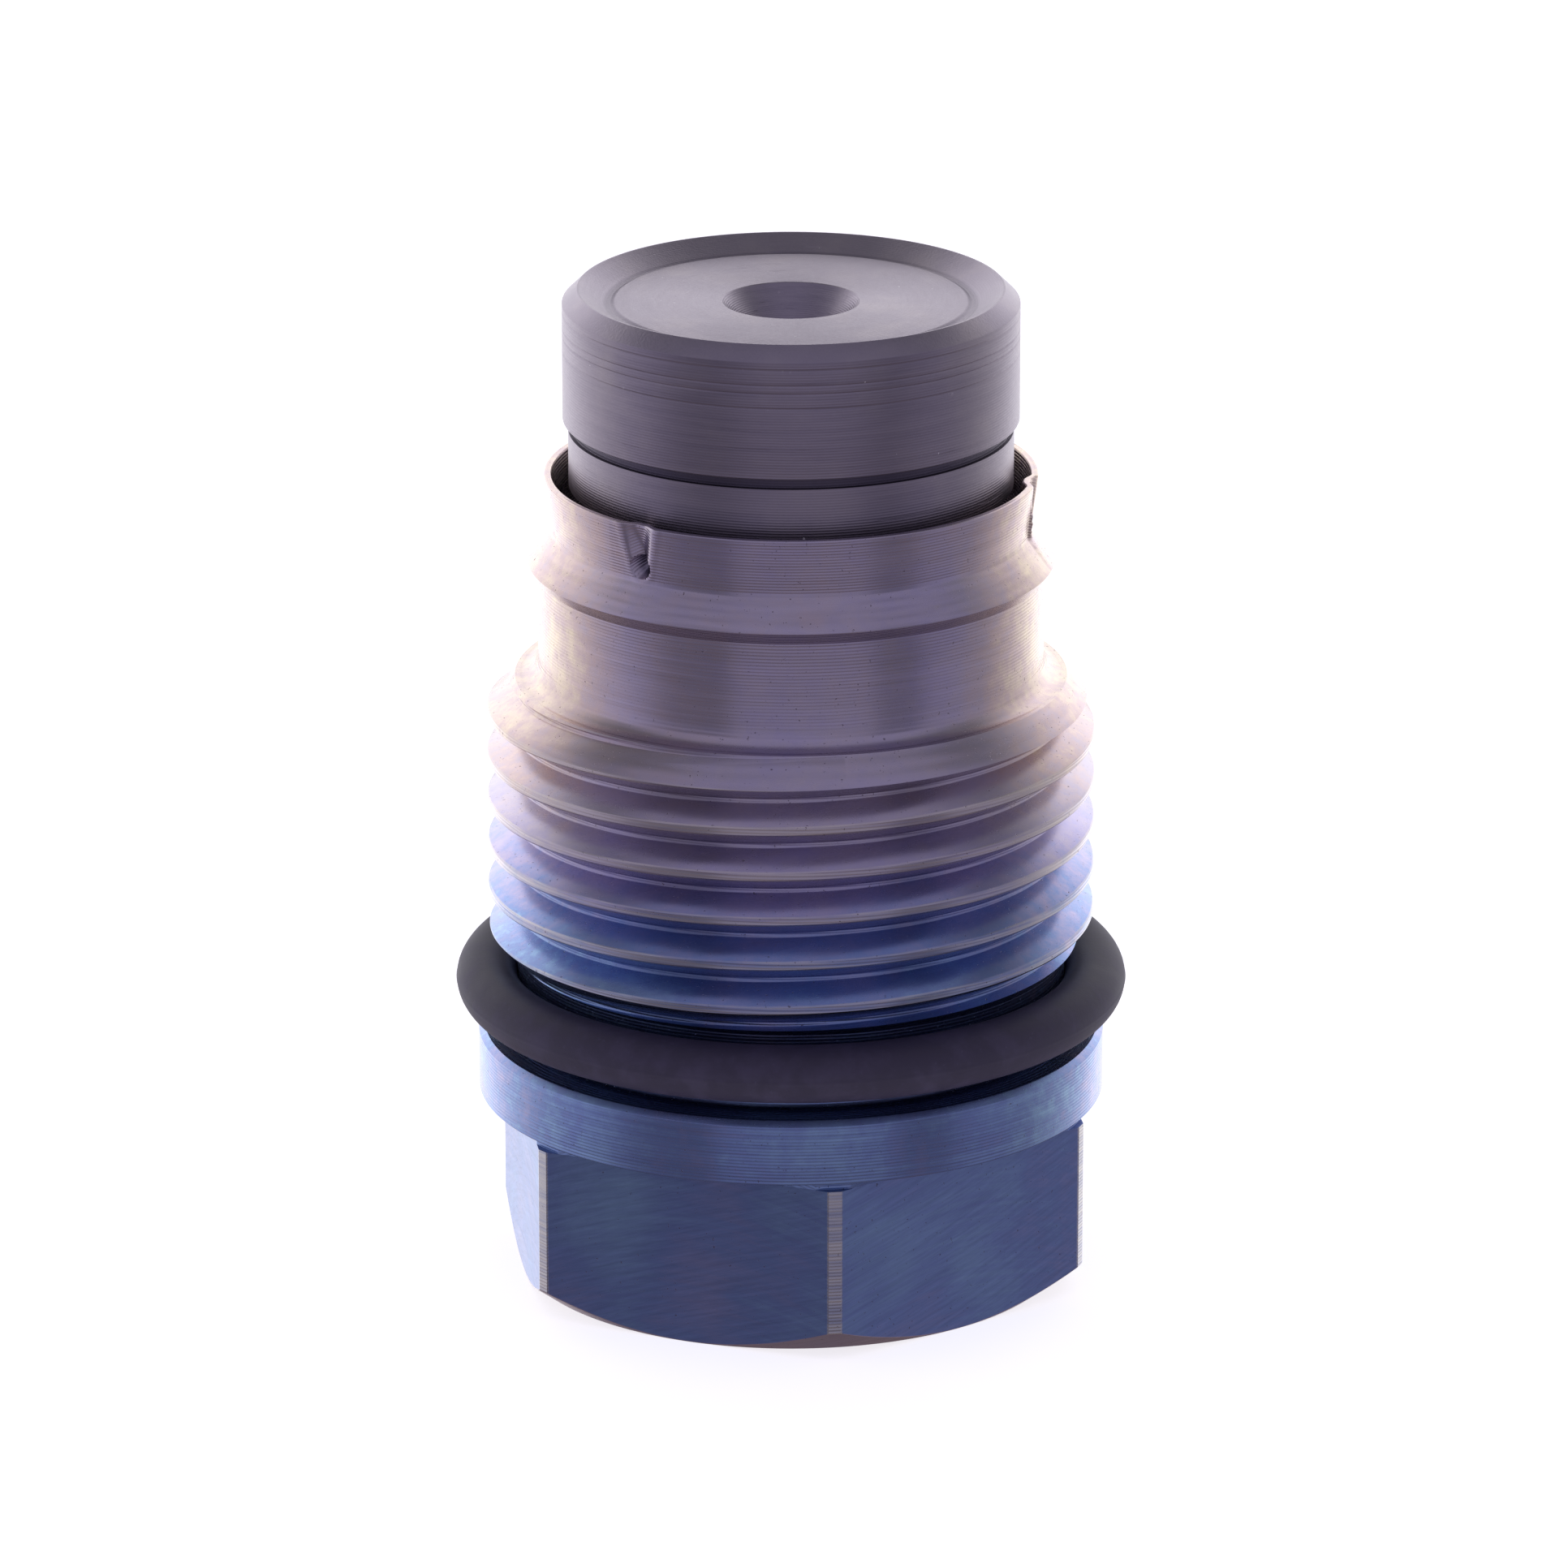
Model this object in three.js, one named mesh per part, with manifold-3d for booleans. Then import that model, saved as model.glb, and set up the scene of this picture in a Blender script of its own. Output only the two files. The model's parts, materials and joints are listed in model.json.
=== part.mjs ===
// Screw-in pressure limiting valve cartridge, standing on its wrench hexagon.
// Millimetres, +Z up. Origin: centre of the hexagon's lower face. The axis of every turned piece is Z.
import * as THREE from 'three';
import { mergeVertices } from 'three/addons/utils/BufferGeometryUtils.js';
import Module from 'manifold-3d';

const wasm = await Module();
wasm.setup();

// ---------- driving dimensions ----------

// Facets round every turned piece. Shared by all, so that clearances between them stay even.
const FACETS = 48;
// Length that cutting bodies run past the faces they cut.
const OVERCUT = 1;
// Chamfer on the edges of the small turned pieces.
const EDGE_CHAMFER = 0.19;

// Wrench hexagon
const HEX_ACROSS_FLATS = 17.86;
const HEX_CORNER_CUT = 0.11;
const HEX_BOTTOM_INSET = 0.01;
const HEX_CHAMFER_HEIGHT = 0.96;
const HEX_HEIGHT = 5.82;
// Angle of one hexagon corner, measured from +X.
const HEX_CORNER_ANGLE = THREE.MathUtils.degToRad(-82.1);
const HEX_RELIEF_INSET = 0.26;
const HEX_RELIEF_WIDTH = 0.27;

// Flange that carries the O-ring
const FLANGE_OVERHANG = 0.36;
const FLANGE_THICKNESS = 2.14;
const FLANGE_CHAMFER = 0.19;

// O-ring, resting a little above the flange
const O_RING_SECTION = 1.85;
const O_RING_SHANK_CLEARANCE = 0.15;
const O_RING_FLANGE_GAP = 0.62;
const O_RING_SIDES = 16;

// Metric thread, right-hand
const THREAD_MAJOR_RADIUS = 9.88;
const THREAD_PITCH = 1.5;
const THREAD_CREST = 0.28;
const THREAD_ROOT_FLAT = 0.158;
const THREAD_FLANK_ANGLE = THREE.MathUtils.degToRad(30);
const THREAD_LENGTH = 9.35;
// How far the ridge is rooted in the core, as a share of the depth where neighbouring ridges meet.
const THREAD_ROOTING_SHARE = 0.88;
// Height of the crest above the thread's lower end, at the angle -90 degrees from +X.
const THREAD_LEAD_OFFSET = 1.12;
const RELIEF_DEPTH = 0.93;
const RELIEF_WIDTH = 2.52;

// Neck between the thread and the staked collar
const NECK_FILLET = 0.68;
const NECK_FILLET_STEPS = 3;
const NECK_LENGTH = 3.55;

// Staked collar
const NECK_WALL = 0.78;
const BULGE_STEP = 0.35;
const WAIST_WALL = 0.32;
const WAIST_RISE = 1.02;
const RIM_FLARE = 0.26;
const COLLAR_HEIGHT = 2.9;
const LIP_THICKNESS = 0.25;

// Staking marks
const STAKE_COUNT = 3;
const STAKE_ANGLE = THREE.MathUtils.degToRad(-128);
const STAKE_BELOW_RIM = 1.45;
const STAKE_NUB_RADIUS = 0.45;
const STAKE_PIT_RADIUS = 0.32;
const STAKE_FUNNEL_WIDTH = 1.35;
const STAKE_REACH = 0.3;
const STAKE_SHELL = 0.22;
const STAKE_SIDES = 12;

// Bores of the housing
const COLLAR_BORE_RADIUS = 7.42;
const SHOULDER_BELOW_BULGE = 1.5;
const CHAMBER_RADIUS = 5.4;
const CHAMBER_FLOOR = 2.5;

// Valve seat body
const SEAT_BODY_CLEARANCE = 0.05;
const SEAT_COLLAR_CLEARANCE = 0.05;
const SEAT_BODY_STEP = 0.18;
const SEAT_BODY_STANDOUT = 6.13;
const SEAT_BODY_STEP_BELOW_TOP = 4.31;
const SEAT_BODY_UNDERCUT = 0.26;
const BITE_EDGE_INSET = 0.52;
const BITE_EDGE_LAND = 0.06;
const BITE_EDGE_CHAMFER = 0.47;
const RECESS_INSET = 0.9;
const RECESS_DEPTH = 0.43;
const COUNTERSINK_RADIUS = 2.22;
const COUNTERSINK_DEPTH = 1.35;
const INLET_BORE_RADIUS = 1.2;
const INLET_BORE_LENGTH = 2.2;
const SEAT_CONE_HALF_ANGLE = THREE.MathUtils.degToRad(30);
const OUTLET_CHAMBER_RADIUS = 3.3;
const OUTLET_CHAMBER_LENGTH = 1.6;
const GUIDE_BORE_RADIUS = 2.5;
const SPIGOT_CLEARANCE = 0.35;
const SPIGOT_LENGTH = 2.6;
const SEAT_BODY_PLAY = 0.22;
const STAKE_GROOVE_DEPTH = 0.37;
const STAKE_GROOVE_HEIGHT = 1.35;
const STAKE_AXIAL_CLEARANCE = 0.18;
const FLOW_SLOT_COUNT = 4;
const FLOW_SLOT_WIDTH = 2.4;

// Valve piston
const PISTON_CLEARANCE = 0.03;
const PISTON_TIP_RADIUS = 0.7;
const PISTON_SHOULDER_STEP = 0.27;
const PISTON_SEAT_GAP = 0.02;
const PISTON_FLAT_COUNT = 3;
const PISTON_FLAT_DEPTH = 0.62;
const PISTON_BELOW_SPIGOT = 0.7;
const PISTON_STROKE = 1.2;
const STEM_RADIUS = 1.5;
const STEM_LENGTH = 1.2;

// Spring and its seats
const WIRE_RADIUS = 0.95;
const SPRING_CHAMBER_CLEARANCE = 0.85;
const SPRING_STEPS_PER_TURN = 18;
const SPRING_WIRE_SIDES = 8;
// Closed turns of both ends together, and the travel left before the open turns touch.
const SPRING_CLOSED_TURNS = 2;
const SPRING_RESERVE = 0.02;
const SPRING_END_GRIND = 0.5;
const SPRING_FACE_GAP = 0.02;
const PLATE_THICKNESS = 1.5;
const PLATE_CHAMBER_CLEARANCE = 0.7;
const PLATE_BOSS_LENGTH = 1.4;
const PLATE_STEM_CLEARANCE = 0.02;
const SPRING_BORE_CLEARANCE = 0.15;

// Stroke stop and adjusting shims on the chamber floor
const SHIM_CHAMBER_CLEARANCE = 0.25;
const STACK_FACE_GAP = 0.01;
const THICK_SHIM = 1.0;
const THIN_SHIM = 0.3;
const STOP_FLANGE_THICKNESS = 1.2;
const STOP_PIN_INSET = 0.3;
const STOP_CLEARANCE = 0.08;

// ---------- places worked out from the driving dimensions ----------

const hexApothem = HEX_ACROSS_FLATS / 2;
const hexPointRadius = hexApothem / Math.cos(Math.PI / 6);
const flangeRadius = THREAD_MAJOR_RADIUS + FLANGE_OVERHANG;
const flangeBottom = HEX_HEIGHT + HEX_RELIEF_WIDTH;
const flangeTop = flangeBottom + FLANGE_THICKNESS;
const shankRadius = THREAD_MAJOR_RADIUS - RELIEF_DEPTH;
const flankSlope = Math.tan(THREAD_FLANK_ANGLE);
const threadDepth = (THREAD_PITCH - THREAD_CREST - THREAD_ROOT_FLAT) / 2 / flankSlope;
const threadRooting = (THREAD_ROOTING_SHARE * THREAD_ROOT_FLAT) / 2 / flankSlope;
const threadRootRadius = THREAD_MAJOR_RADIUS - threadDepth;
const threadBottom = flangeTop + RELIEF_WIDTH;
const threadTop = threadBottom + THREAD_LENGTH;
const neckRadius = COLLAR_BORE_RADIUS + NECK_WALL;
const bulgeHeight = threadTop + NECK_LENGTH + BULGE_STEP;
const waistRadius = COLLAR_BORE_RADIUS + WAIST_WALL;
const rimRadius = waistRadius + RIM_FLARE;
const waistHeight = bulgeHeight + WAIST_RISE;
const rimHeight = bulgeHeight + COLLAR_HEIGHT;
const shoulderHeight = bulgeHeight - SHOULDER_BELOW_BULGE;
const stakeHeight = rimHeight - STAKE_BELOW_RIM;
const stakeTipRadius = COLLAR_BORE_RADIUS - STAKE_REACH;

const seatBodyTop = rimHeight + SEAT_BODY_STANDOUT;
const recessFloor = seatBodyTop - RECESS_DEPTH;
const inletBottom = recessFloor - COUNTERSINK_DEPTH - INLET_BORE_LENGTH;
const coneSlope = Math.tan(SEAT_CONE_HALF_ANGLE);
const coneBottom = inletBottom - (OUTLET_CHAMBER_RADIUS - INLET_BORE_RADIUS) / coneSlope;
const seatBodyRadius = COLLAR_BORE_RADIUS - SEAT_BODY_CLEARANCE;
const seatCollarRadius = COLLAR_BORE_RADIUS - SEAT_COLLAR_CLEARANCE;
const seatBodyLowerRadius = seatBodyRadius - SEAT_BODY_STEP;
const biteEdgeRadius = seatBodyRadius - BITE_EDGE_INSET;
const seatCollarBottom = shoulderHeight + SEAT_BODY_PLAY;
const spigotBottom = seatCollarBottom - SPIGOT_LENGTH;
const spigotRadius = CHAMBER_RADIUS - SPIGOT_CLEARANCE;
const seatCollarTop = stakeHeight - STAKE_NUB_RADIUS - STAKE_AXIAL_CLEARANCE;
const stakeGrooveRadius = seatBodyLowerRadius - STAKE_GROOVE_DEPTH;

const pistonRadius = GUIDE_BORE_RADIUS - PISTON_CLEARANCE;
const pistonShoulderRadius = pistonRadius - PISTON_SHOULDER_STEP;
const pistonFlatDistance = pistonRadius - PISTON_FLAT_DEPTH;
const pistonBottom = spigotBottom - PISTON_BELOW_SPIGOT;
const plateTop = pistonBottom - STACK_FACE_GAP;
const plateRadius = CHAMBER_RADIUS - PLATE_CHAMBER_CLEARANCE;
const plateBottom = plateTop - PLATE_THICKNESS;
const springMeanRadius = CHAMBER_RADIUS - SPRING_CHAMBER_CLEARANCE - WIRE_RADIUS;
const bossRadius = springMeanRadius - WIRE_RADIUS - SPRING_BORE_CLEARANCE;
const bossBottom = plateBottom - PLATE_BOSS_LENGTH;

const shimRadius = CHAMBER_RADIUS - SHIM_CHAMBER_CLEARANCE;
const thickShimBottom = CHAMBER_FLOOR + STACK_FACE_GAP;
const thinShimBottom = thickShimBottom + THICK_SHIM + STACK_FACE_GAP;
const stopBottom = thinShimBottom + THIN_SHIM + STACK_FACE_GAP;
const stopFlangeTop = stopBottom + STOP_FLANGE_THICKNESS;
const travel = PISTON_STROKE + SEAT_BODY_PLAY;
const stopPinRadius = bossRadius - STOP_PIN_INSET;
const stopTop = bossBottom - travel - STOP_CLEARANCE;

// ---------- materials ----------

function metal(name, color, roughness, metalness) {
  return new THREE.MeshStandardMaterial({ name, color, roughness, metalness });
}

const bluedSteel = metal('blued_steel', 0x7f8fb2, 0.34, 0.95);
const phosphatedSteel = metal('phosphated_steel', 0x5b5660, 0.55, 0.8);
const hardenedSteel = metal('hardened_steel', 0xb9bcc2, 0.25, 1);
const springSteel = metal('spring_steel', 0x6d6a66, 0.4, 0.95);
const groundSteel = metal('ground_steel', 0xa7a9ad, 0.3, 1);
const nitrileRubber = metal('nitrile_rubber', 0x241f2c, 0.6, 0);

// ---------- making and cutting solids ----------

function solidOf(geometry) {
  geometry.deleteAttribute('normal');
  geometry.deleteAttribute('uv');
  const merged = mergeVertices(geometry);
  const mesh = new wasm.Mesh({
    numProp: 3,
    vertProperties: new Float32Array(merged.attributes.position.array),
    triVerts: new Uint32Array(merged.index.array),
  });
  return new wasm.Manifold(mesh);
}

function geometryOf(solid) {
  const mesh = solid.getMesh();
  const geometry = new THREE.BufferGeometry();
  geometry.setAttribute('position', new THREE.Float32BufferAttribute(mesh.vertProperties, mesh.numProp));
  geometry.setIndex(new THREE.Uint32BufferAttribute(mesh.triVerts, 1));
  return geometry;
}

// Turned body: outline points [radius, height] go once round the section, outwards then upwards.
function turned(outline) {
  const points = outline.map(([radius, height]) => new THREE.Vector2(radius, height));
  if (outline[0][0] > 0) {
    points.push(points[0].clone());
  }
  const lathe = new THREE.LatheGeometry(points, FACETS);
  return solidOf(lathe.rotateX(Math.PI / 2));
}

// Regular polygon round the section's origin, with one corner at a given angle.
function polygon(sides, radius, firstAngle) {
  const corners = Array.from({ length: sides }, (_, side) => {
    const angle = firstAngle + (side * 2 * Math.PI) / sides;
    return new THREE.Vector2(radius * Math.cos(angle), radius * Math.sin(angle));
  });
  return new THREE.Shape(corners);
}

function extruded(shape, depth) {
  return new THREE.ExtrudeGeometry(shape, { depth, bevelEnabled: false });
}

// Points of a round fillet or rounding in the section plane, from one angle to another.
function arc(radius, height, size, fromDegrees, toDegrees, steps) {
  return Array.from({ length: steps + 1 }, (_, i) => {
    const angle = THREE.MathUtils.degToRad(fromDegrees + ((toDegrees - fromDegrees) * i) / steps);
    return [radius + size * Math.cos(angle), height + size * Math.sin(angle)];
  });
}

function box(width, depth, height, x, y, z, angle) {
  const geometry = new THREE.BoxGeometry(width, depth, height);
  return solidOf(geometry.translate(x, y, z).rotateZ(angle));
}

// Upright right-hand helix, run from its top down. Its section frames stay radial: x of the section
// points outwards and y points up.
class Helix extends THREE.Curve {
  constructor(radius, turns, heightAt, lowestAngle) {
    super();
    Object.assign(this, { radius, turns, heightAt, lowestAngle });
  }

  turnAt(t) {
    return (1 - t) * this.turns;
  }

  angleAt(t) {
    return this.lowestAngle + this.turnAt(t) * 2 * Math.PI;
  }

  getPoint(t, target = new THREE.Vector3()) {
    const angle = this.angleAt(t);
    const height = this.heightAt(this.turnAt(t));
    return target.set(this.radius * Math.cos(angle), this.radius * Math.sin(angle), height);
  }

  getSpacedPoints(divisions) {
    return this.getPoints(divisions);
  }

  computeFrenetFrames(segments) {
    const angles = Array.from({ length: segments + 1 }, (_, i) => this.angleAt(i / segments));
    return {
      tangents: angles.map((angle) => new THREE.Vector3(Math.sin(angle), -Math.cos(angle), 0)),
      normals: angles.map((angle) => new THREE.Vector3(Math.cos(angle), Math.sin(angle), 0)),
      binormals: angles.map(() => new THREE.Vector3(0, 0, 1)),
    };
  }
}

function sweptSolid(shape, path, steps) {
  const swept = new THREE.ExtrudeGeometry(shape, { steps, extrudePath: path, bevelEnabled: false });
  return solidOf(swept);
}

// ---------- housing ----------

function hexagonBody() {
  const cornerRadius = hexPointRadius - HEX_CORNER_CUT;
  const reliefRadius = flangeRadius - HEX_RELIEF_INSET;
  const prism = solidOf(extruded(polygon(6, hexPointRadius, HEX_CORNER_ANGLE), flangeBottom + OVERCUT));
  return prism.intersect(
    turned([
      [0, 0],
      [hexApothem - HEX_BOTTOM_INSET, 0],
      [cornerRadius, HEX_CHAMFER_HEIGHT],
      [cornerRadius, HEX_HEIGHT],
      [reliefRadius, HEX_HEIGHT],
      [reliefRadius, flangeBottom + FLANGE_CHAMFER],
      [0, flangeBottom + FLANGE_CHAMFER],
    ]),
  );
}

function flangeAndShank() {
  return turned([
    [0, flangeBottom],
    [flangeRadius, flangeBottom],
    [flangeRadius, flangeTop - FLANGE_CHAMFER],
    [flangeRadius - FLANGE_CHAMFER, flangeTop],
    [shankRadius, flangeTop],
    [shankRadius, threadBottom + OVERCUT / 2],
    [0, threadBottom + OVERCUT / 2],
  ]);
}

function threadedPart() {
  const core = turned([
    [0, threadBottom],
    [threadRootRadius, threadBottom],
    [threadRootRadius, threadTop],
    [0, threadTop],
  ]);
  const envelope = turned([
    [0, threadBottom],
    [threadRootRadius, threadBottom],
    [THREAD_MAJOR_RADIUS, threadBottom + threadDepth],
    [THREAD_MAJOR_RADIUS, threadTop - threadDepth],
    [threadRootRadius, threadTop],
    [0, threadTop],
  ]);
  const crestHalf = THREAD_CREST / 2;
  const baseHalf = crestHalf + (threadDepth + threadRooting) * flankSlope;
  const ridge = new THREE.Shape();
  ridge.moveTo(-threadRooting, -baseHalf);
  ridge.lineTo(threadDepth, -crestHalf);
  ridge.lineTo(threadDepth, crestHalf);
  ridge.lineTo(-threadRooting, baseHalf);
  ridge.closePath();
  const turns = Math.ceil(THREAD_LENGTH / THREAD_PITCH) + 1;
  const lowest = threadBottom + THREAD_LEAD_OFFSET - THREAD_PITCH;
  const path = new Helix(threadRootRadius, turns, (turn) => lowest + turn * THREAD_PITCH, -Math.PI / 2);
  const helicalRidge = sweptSolid(ridge, path, turns * FACETS);
  return core.add(helicalRidge.intersect(envelope));
}

function neckAndCollar() {
  const filletRadius = neckRadius + NECK_FILLET;
  return turned([
    [0, threadTop - threadRooting],
    [threadRootRadius, threadTop - threadRooting],
    ...arc(filletRadius, threadTop + NECK_FILLET, NECK_FILLET, 270, 180, NECK_FILLET_STEPS),
    [neckRadius, threadTop + NECK_LENGTH],
    [neckRadius + BULGE_STEP, bulgeHeight],
    [waistRadius, waistHeight],
    [rimRadius, rimHeight],
    [0, rimHeight],
  ]);
}

function housingBores() {
  const mouthRadius = rimRadius - LIP_THICKNESS;
  return turned([
    [0, CHAMBER_FLOOR],
    [CHAMBER_RADIUS, CHAMBER_FLOOR],
    [CHAMBER_RADIUS, shoulderHeight],
    [COLLAR_BORE_RADIUS, shoulderHeight],
    [COLLAR_BORE_RADIUS, waistHeight],
    [mouthRadius, rimHeight],
    [mouthRadius, rimHeight + OVERCUT],
    [0, rimHeight + OVERCUT],
  ]);
}

// A punch mark: the collar wall is pushed in to a nub that reaches over the seat body's collar.
function stakeAngles() {
  return Array.from({ length: STAKE_COUNT }, (_, i) => STAKE_ANGLE + (i * 2 * Math.PI) / STAKE_COUNT);
}

function radialPeg(size, fromRadius, toRadius, angle) {
  const peg = new THREE.CylinderGeometry(size, size, toRadius - fromRadius, STAKE_SIDES);
  peg.rotateZ(Math.PI / 2).translate((fromRadius + toRadius) / 2, 0, stakeHeight).rotateZ(angle);
  return solidOf(peg);
}

function stakeFunnel(angle) {
  const shape = new THREE.Shape();
  const rise = STAKE_BELOW_RIM + OVERCUT;
  const mouth = (STAKE_FUNNEL_WIDTH / 2 - STAKE_PIT_RADIUS) * (rise / STAKE_BELOW_RIM) + STAKE_PIT_RADIUS;
  shape.moveTo(-STAKE_PIT_RADIUS, 0);
  shape.lineTo(STAKE_PIT_RADIUS, 0);
  shape.lineTo(mouth, rise);
  shape.lineTo(-mouth, rise);
  shape.closePath();
  const wedge = extruded(shape, OVERCUT);
  wedge.rotateX(Math.PI / 2).rotateZ(Math.PI / 2);
  wedge.translate(COLLAR_BORE_RADIUS + STAKE_SHELL, 0, stakeHeight).rotateZ(angle);
  return solidOf(wedge);
}

function housing() {
  const blank = hexagonBody().add(flangeAndShank()).add(threadedPart()).add(neckAndCollar());
  let body = blank.subtract(housingBores());
  for (const angle of stakeAngles()) {
    body = body.add(radialPeg(STAKE_NUB_RADIUS, stakeTipRadius, COLLAR_BORE_RADIUS + STAKE_SHELL, angle));
    body = body.subtract(stakeFunnel(angle));
    body = body.subtract(
      radialPeg(STAKE_PIT_RADIUS, stakeTipRadius + STAKE_SHELL, rimRadius + OVERCUT, angle),
    );
  }
  return body;
}

// ---------- seal ----------

function oRing() {
  const size = O_RING_SECTION / 2;
  const radius = shankRadius + O_RING_SHANK_CLEARANCE + size;
  const height = flangeTop + O_RING_FLANGE_GAP + size;
  return turned(arc(radius, height, size, 0, 360, O_RING_SIDES).slice(0, -1));
}

// ---------- valve seat body ----------

function seatBody() {
  const stepHeight = seatBodyTop - SEAT_BODY_STEP_BELOW_TOP;
  const undercutTop = stepHeight + SEAT_BODY_UNDERCUT;
  const undercutDepth = SEAT_BODY_UNDERCUT / 2;
  const undercutRadius = seatBodyLowerRadius - undercutDepth;
  const grooveTop = seatCollarTop + STAKE_GROOVE_HEIGHT;
  const chamberBottom = coneBottom - OUTLET_CHAMBER_LENGTH;
  const body = turned([
    [GUIDE_BORE_RADIUS, spigotBottom],
    [spigotRadius, spigotBottom],
    [spigotRadius, seatCollarBottom],
    [seatCollarRadius, seatCollarBottom],
    [seatCollarRadius, seatCollarTop],
    [stakeGrooveRadius, seatCollarTop],
    [stakeGrooveRadius, grooveTop],
    [seatBodyLowerRadius, grooveTop + STAKE_GROOVE_DEPTH],
    [seatBodyLowerRadius, stepHeight],
    [undercutRadius, stepHeight],
    [undercutRadius, undercutTop - undercutDepth],
    [seatBodyRadius, undercutTop],
    [seatBodyRadius, seatBodyTop - BITE_EDGE_CHAMFER],
    [biteEdgeRadius + BITE_EDGE_LAND / 2, seatBodyTop],
    [biteEdgeRadius - BITE_EDGE_LAND / 2, seatBodyTop],
    [biteEdgeRadius - RECESS_INSET, recessFloor],
    [COUNTERSINK_RADIUS, recessFloor],
    [INLET_BORE_RADIUS, recessFloor - COUNTERSINK_DEPTH],
    [INLET_BORE_RADIUS, inletBottom],
    [OUTLET_CHAMBER_RADIUS, coneBottom],
    [OUTLET_CHAMBER_RADIUS, chamberBottom],
    [GUIDE_BORE_RADIUS, chamberBottom - (OUTLET_CHAMBER_RADIUS - GUIDE_BORE_RADIUS)],
  ]);
  return Array.from({ length: FLOW_SLOT_COUNT }, (_, slot) => flowSlot(slot)).reduce(
    (slotted, cutter) => slotted.subtract(cutter),
    body,
  );
}

// Cuts through the guiding collar down to the groove, and a shallower step out of the spigot's root.
function flowSlot(slot) {
  const angle = ((slot + 0.5) * 2 * Math.PI) / FLOW_SLOT_COUNT;
  const reach = seatCollarRadius + OVERCUT - spigotRadius;
  const distance = spigotRadius + reach / 2;
  const middle = (seatCollarBottom + seatCollarTop) / 2;
  const height = seatCollarTop - seatCollarBottom + 2 * OVERCUT;
  const core = turned([
    [0, seatCollarBottom - 2 * OVERCUT],
    [stakeGrooveRadius, seatCollarBottom - 2 * OVERCUT],
    [stakeGrooveRadius, seatCollarTop + 2 * OVERCUT],
    [0, seatCollarTop + 2 * OVERCUT],
  ]);
  const through = box(reach, FLOW_SLOT_WIDTH, height, distance, 0, middle, angle).subtract(core);
  return through.add(box(reach, FLOW_SLOT_WIDTH, OVERCUT, distance, 0, seatCollarBottom, angle));
}

// ---------- valve piston ----------

function valvePiston() {
  const coneFoot = inletBottom - (pistonShoulderRadius - INLET_BORE_RADIUS) / coneSlope;
  const coneTop = coneFoot + (pistonShoulderRadius - PISTON_TIP_RADIUS) / coneSlope;
  const drop = PISTON_SEAT_GAP / Math.sin(SEAT_CONE_HALF_ANGLE);
  const guideTop = coneFoot - drop - OUTLET_CHAMBER_LENGTH;
  let piston = turned([
    [0, pistonBottom - STEM_LENGTH],
    [STEM_RADIUS, pistonBottom - STEM_LENGTH],
    [STEM_RADIUS, pistonBottom],
    [pistonRadius, pistonBottom],
    [pistonRadius, guideTop],
    [pistonShoulderRadius, guideTop + PISTON_SHOULDER_STEP],
    [pistonShoulderRadius, coneFoot - drop],
    [PISTON_TIP_RADIUS, coneTop - drop],
    [0, coneTop - drop],
  ]);
  const depth = PISTON_FLAT_DEPTH + OVERCUT;
  const width = 4 * pistonRadius;
  const height = guideTop - pistonBottom + OVERCUT;
  const distance = pistonFlatDistance + depth / 2;
  for (let flat = 0; flat < PISTON_FLAT_COUNT; flat += 1) {
    const angle = (flat * 2 * Math.PI) / PISTON_FLAT_COUNT;
    piston = piston.subtract(box(depth, width, height, distance, 0, pistonBottom + height / 2, angle));
  }
  return piston;
}

// ---------- spring, spring plate, stop and shims ----------

function springPlate() {
  const socketRadius = STEM_RADIUS + PLATE_STEM_CLEARANCE;
  const socketFloor = plateTop - STEM_LENGTH - PLATE_STEM_CLEARANCE;
  return turned([
    [0, bossBottom],
    [bossRadius - EDGE_CHAMFER, bossBottom],
    [bossRadius, bossBottom + EDGE_CHAMFER],
    [bossRadius, plateBottom],
    [plateRadius, plateBottom],
    [plateRadius, plateTop - EDGE_CHAMFER],
    [plateRadius - EDGE_CHAMFER, plateTop],
    [socketRadius, plateTop],
    [socketRadius, socketFloor],
    [0, socketFloor],
  ]);
}

// Coil spring with closed, ground end turns. It has as many open turns as leave room for the travel.
function compressionSpring() {
  const bottom = stopFlangeTop + SPRING_FACE_GAP;
  const top = plateBottom - SPRING_FACE_GAP;
  const inset = WIRE_RADIUS * (1 - SPRING_END_GRIND);
  const closed = 2 * WIRE_RADIUS;
  const openLength = top - bottom - 2 * inset - SPRING_CLOSED_TURNS * closed;
  const openTurns = (openLength - travel - SPRING_RESERVE) / closed;
  const endTurns = SPRING_CLOSED_TURNS / 2;
  const heightAt = (turn) =>
    bottom +
    inset +
    closed * Math.min(turn, endTurns) +
    (openLength / openTurns) * THREE.MathUtils.clamp(turn - endTurns, 0, openTurns) +
    closed * Math.max(turn - endTurns - openTurns, 0);
  const turns = openTurns + SPRING_CLOSED_TURNS;
  const wire = polygon(SPRING_WIRE_SIDES, WIRE_RADIUS, Math.PI / SPRING_WIRE_SIDES);
  const path = new Helix(springMeanRadius, turns, heightAt, 0);
  const coil = sweptSolid(wire, path, Math.round(turns * SPRING_STEPS_PER_TURN));
  const width = 4 * springMeanRadius;
  const ground = box(width, width, top - bottom, 0, 0, (top + bottom) / 2, 0);
  return coil.intersect(ground);
}

function strokeStop() {
  return turned([
    [0, stopBottom],
    [shimRadius, stopBottom],
    [shimRadius, stopFlangeTop],
    [stopPinRadius, stopFlangeTop],
    [stopPinRadius, stopTop - EDGE_CHAMFER],
    [stopPinRadius - EDGE_CHAMFER, stopTop],
    [0, stopTop],
  ]);
}

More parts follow.
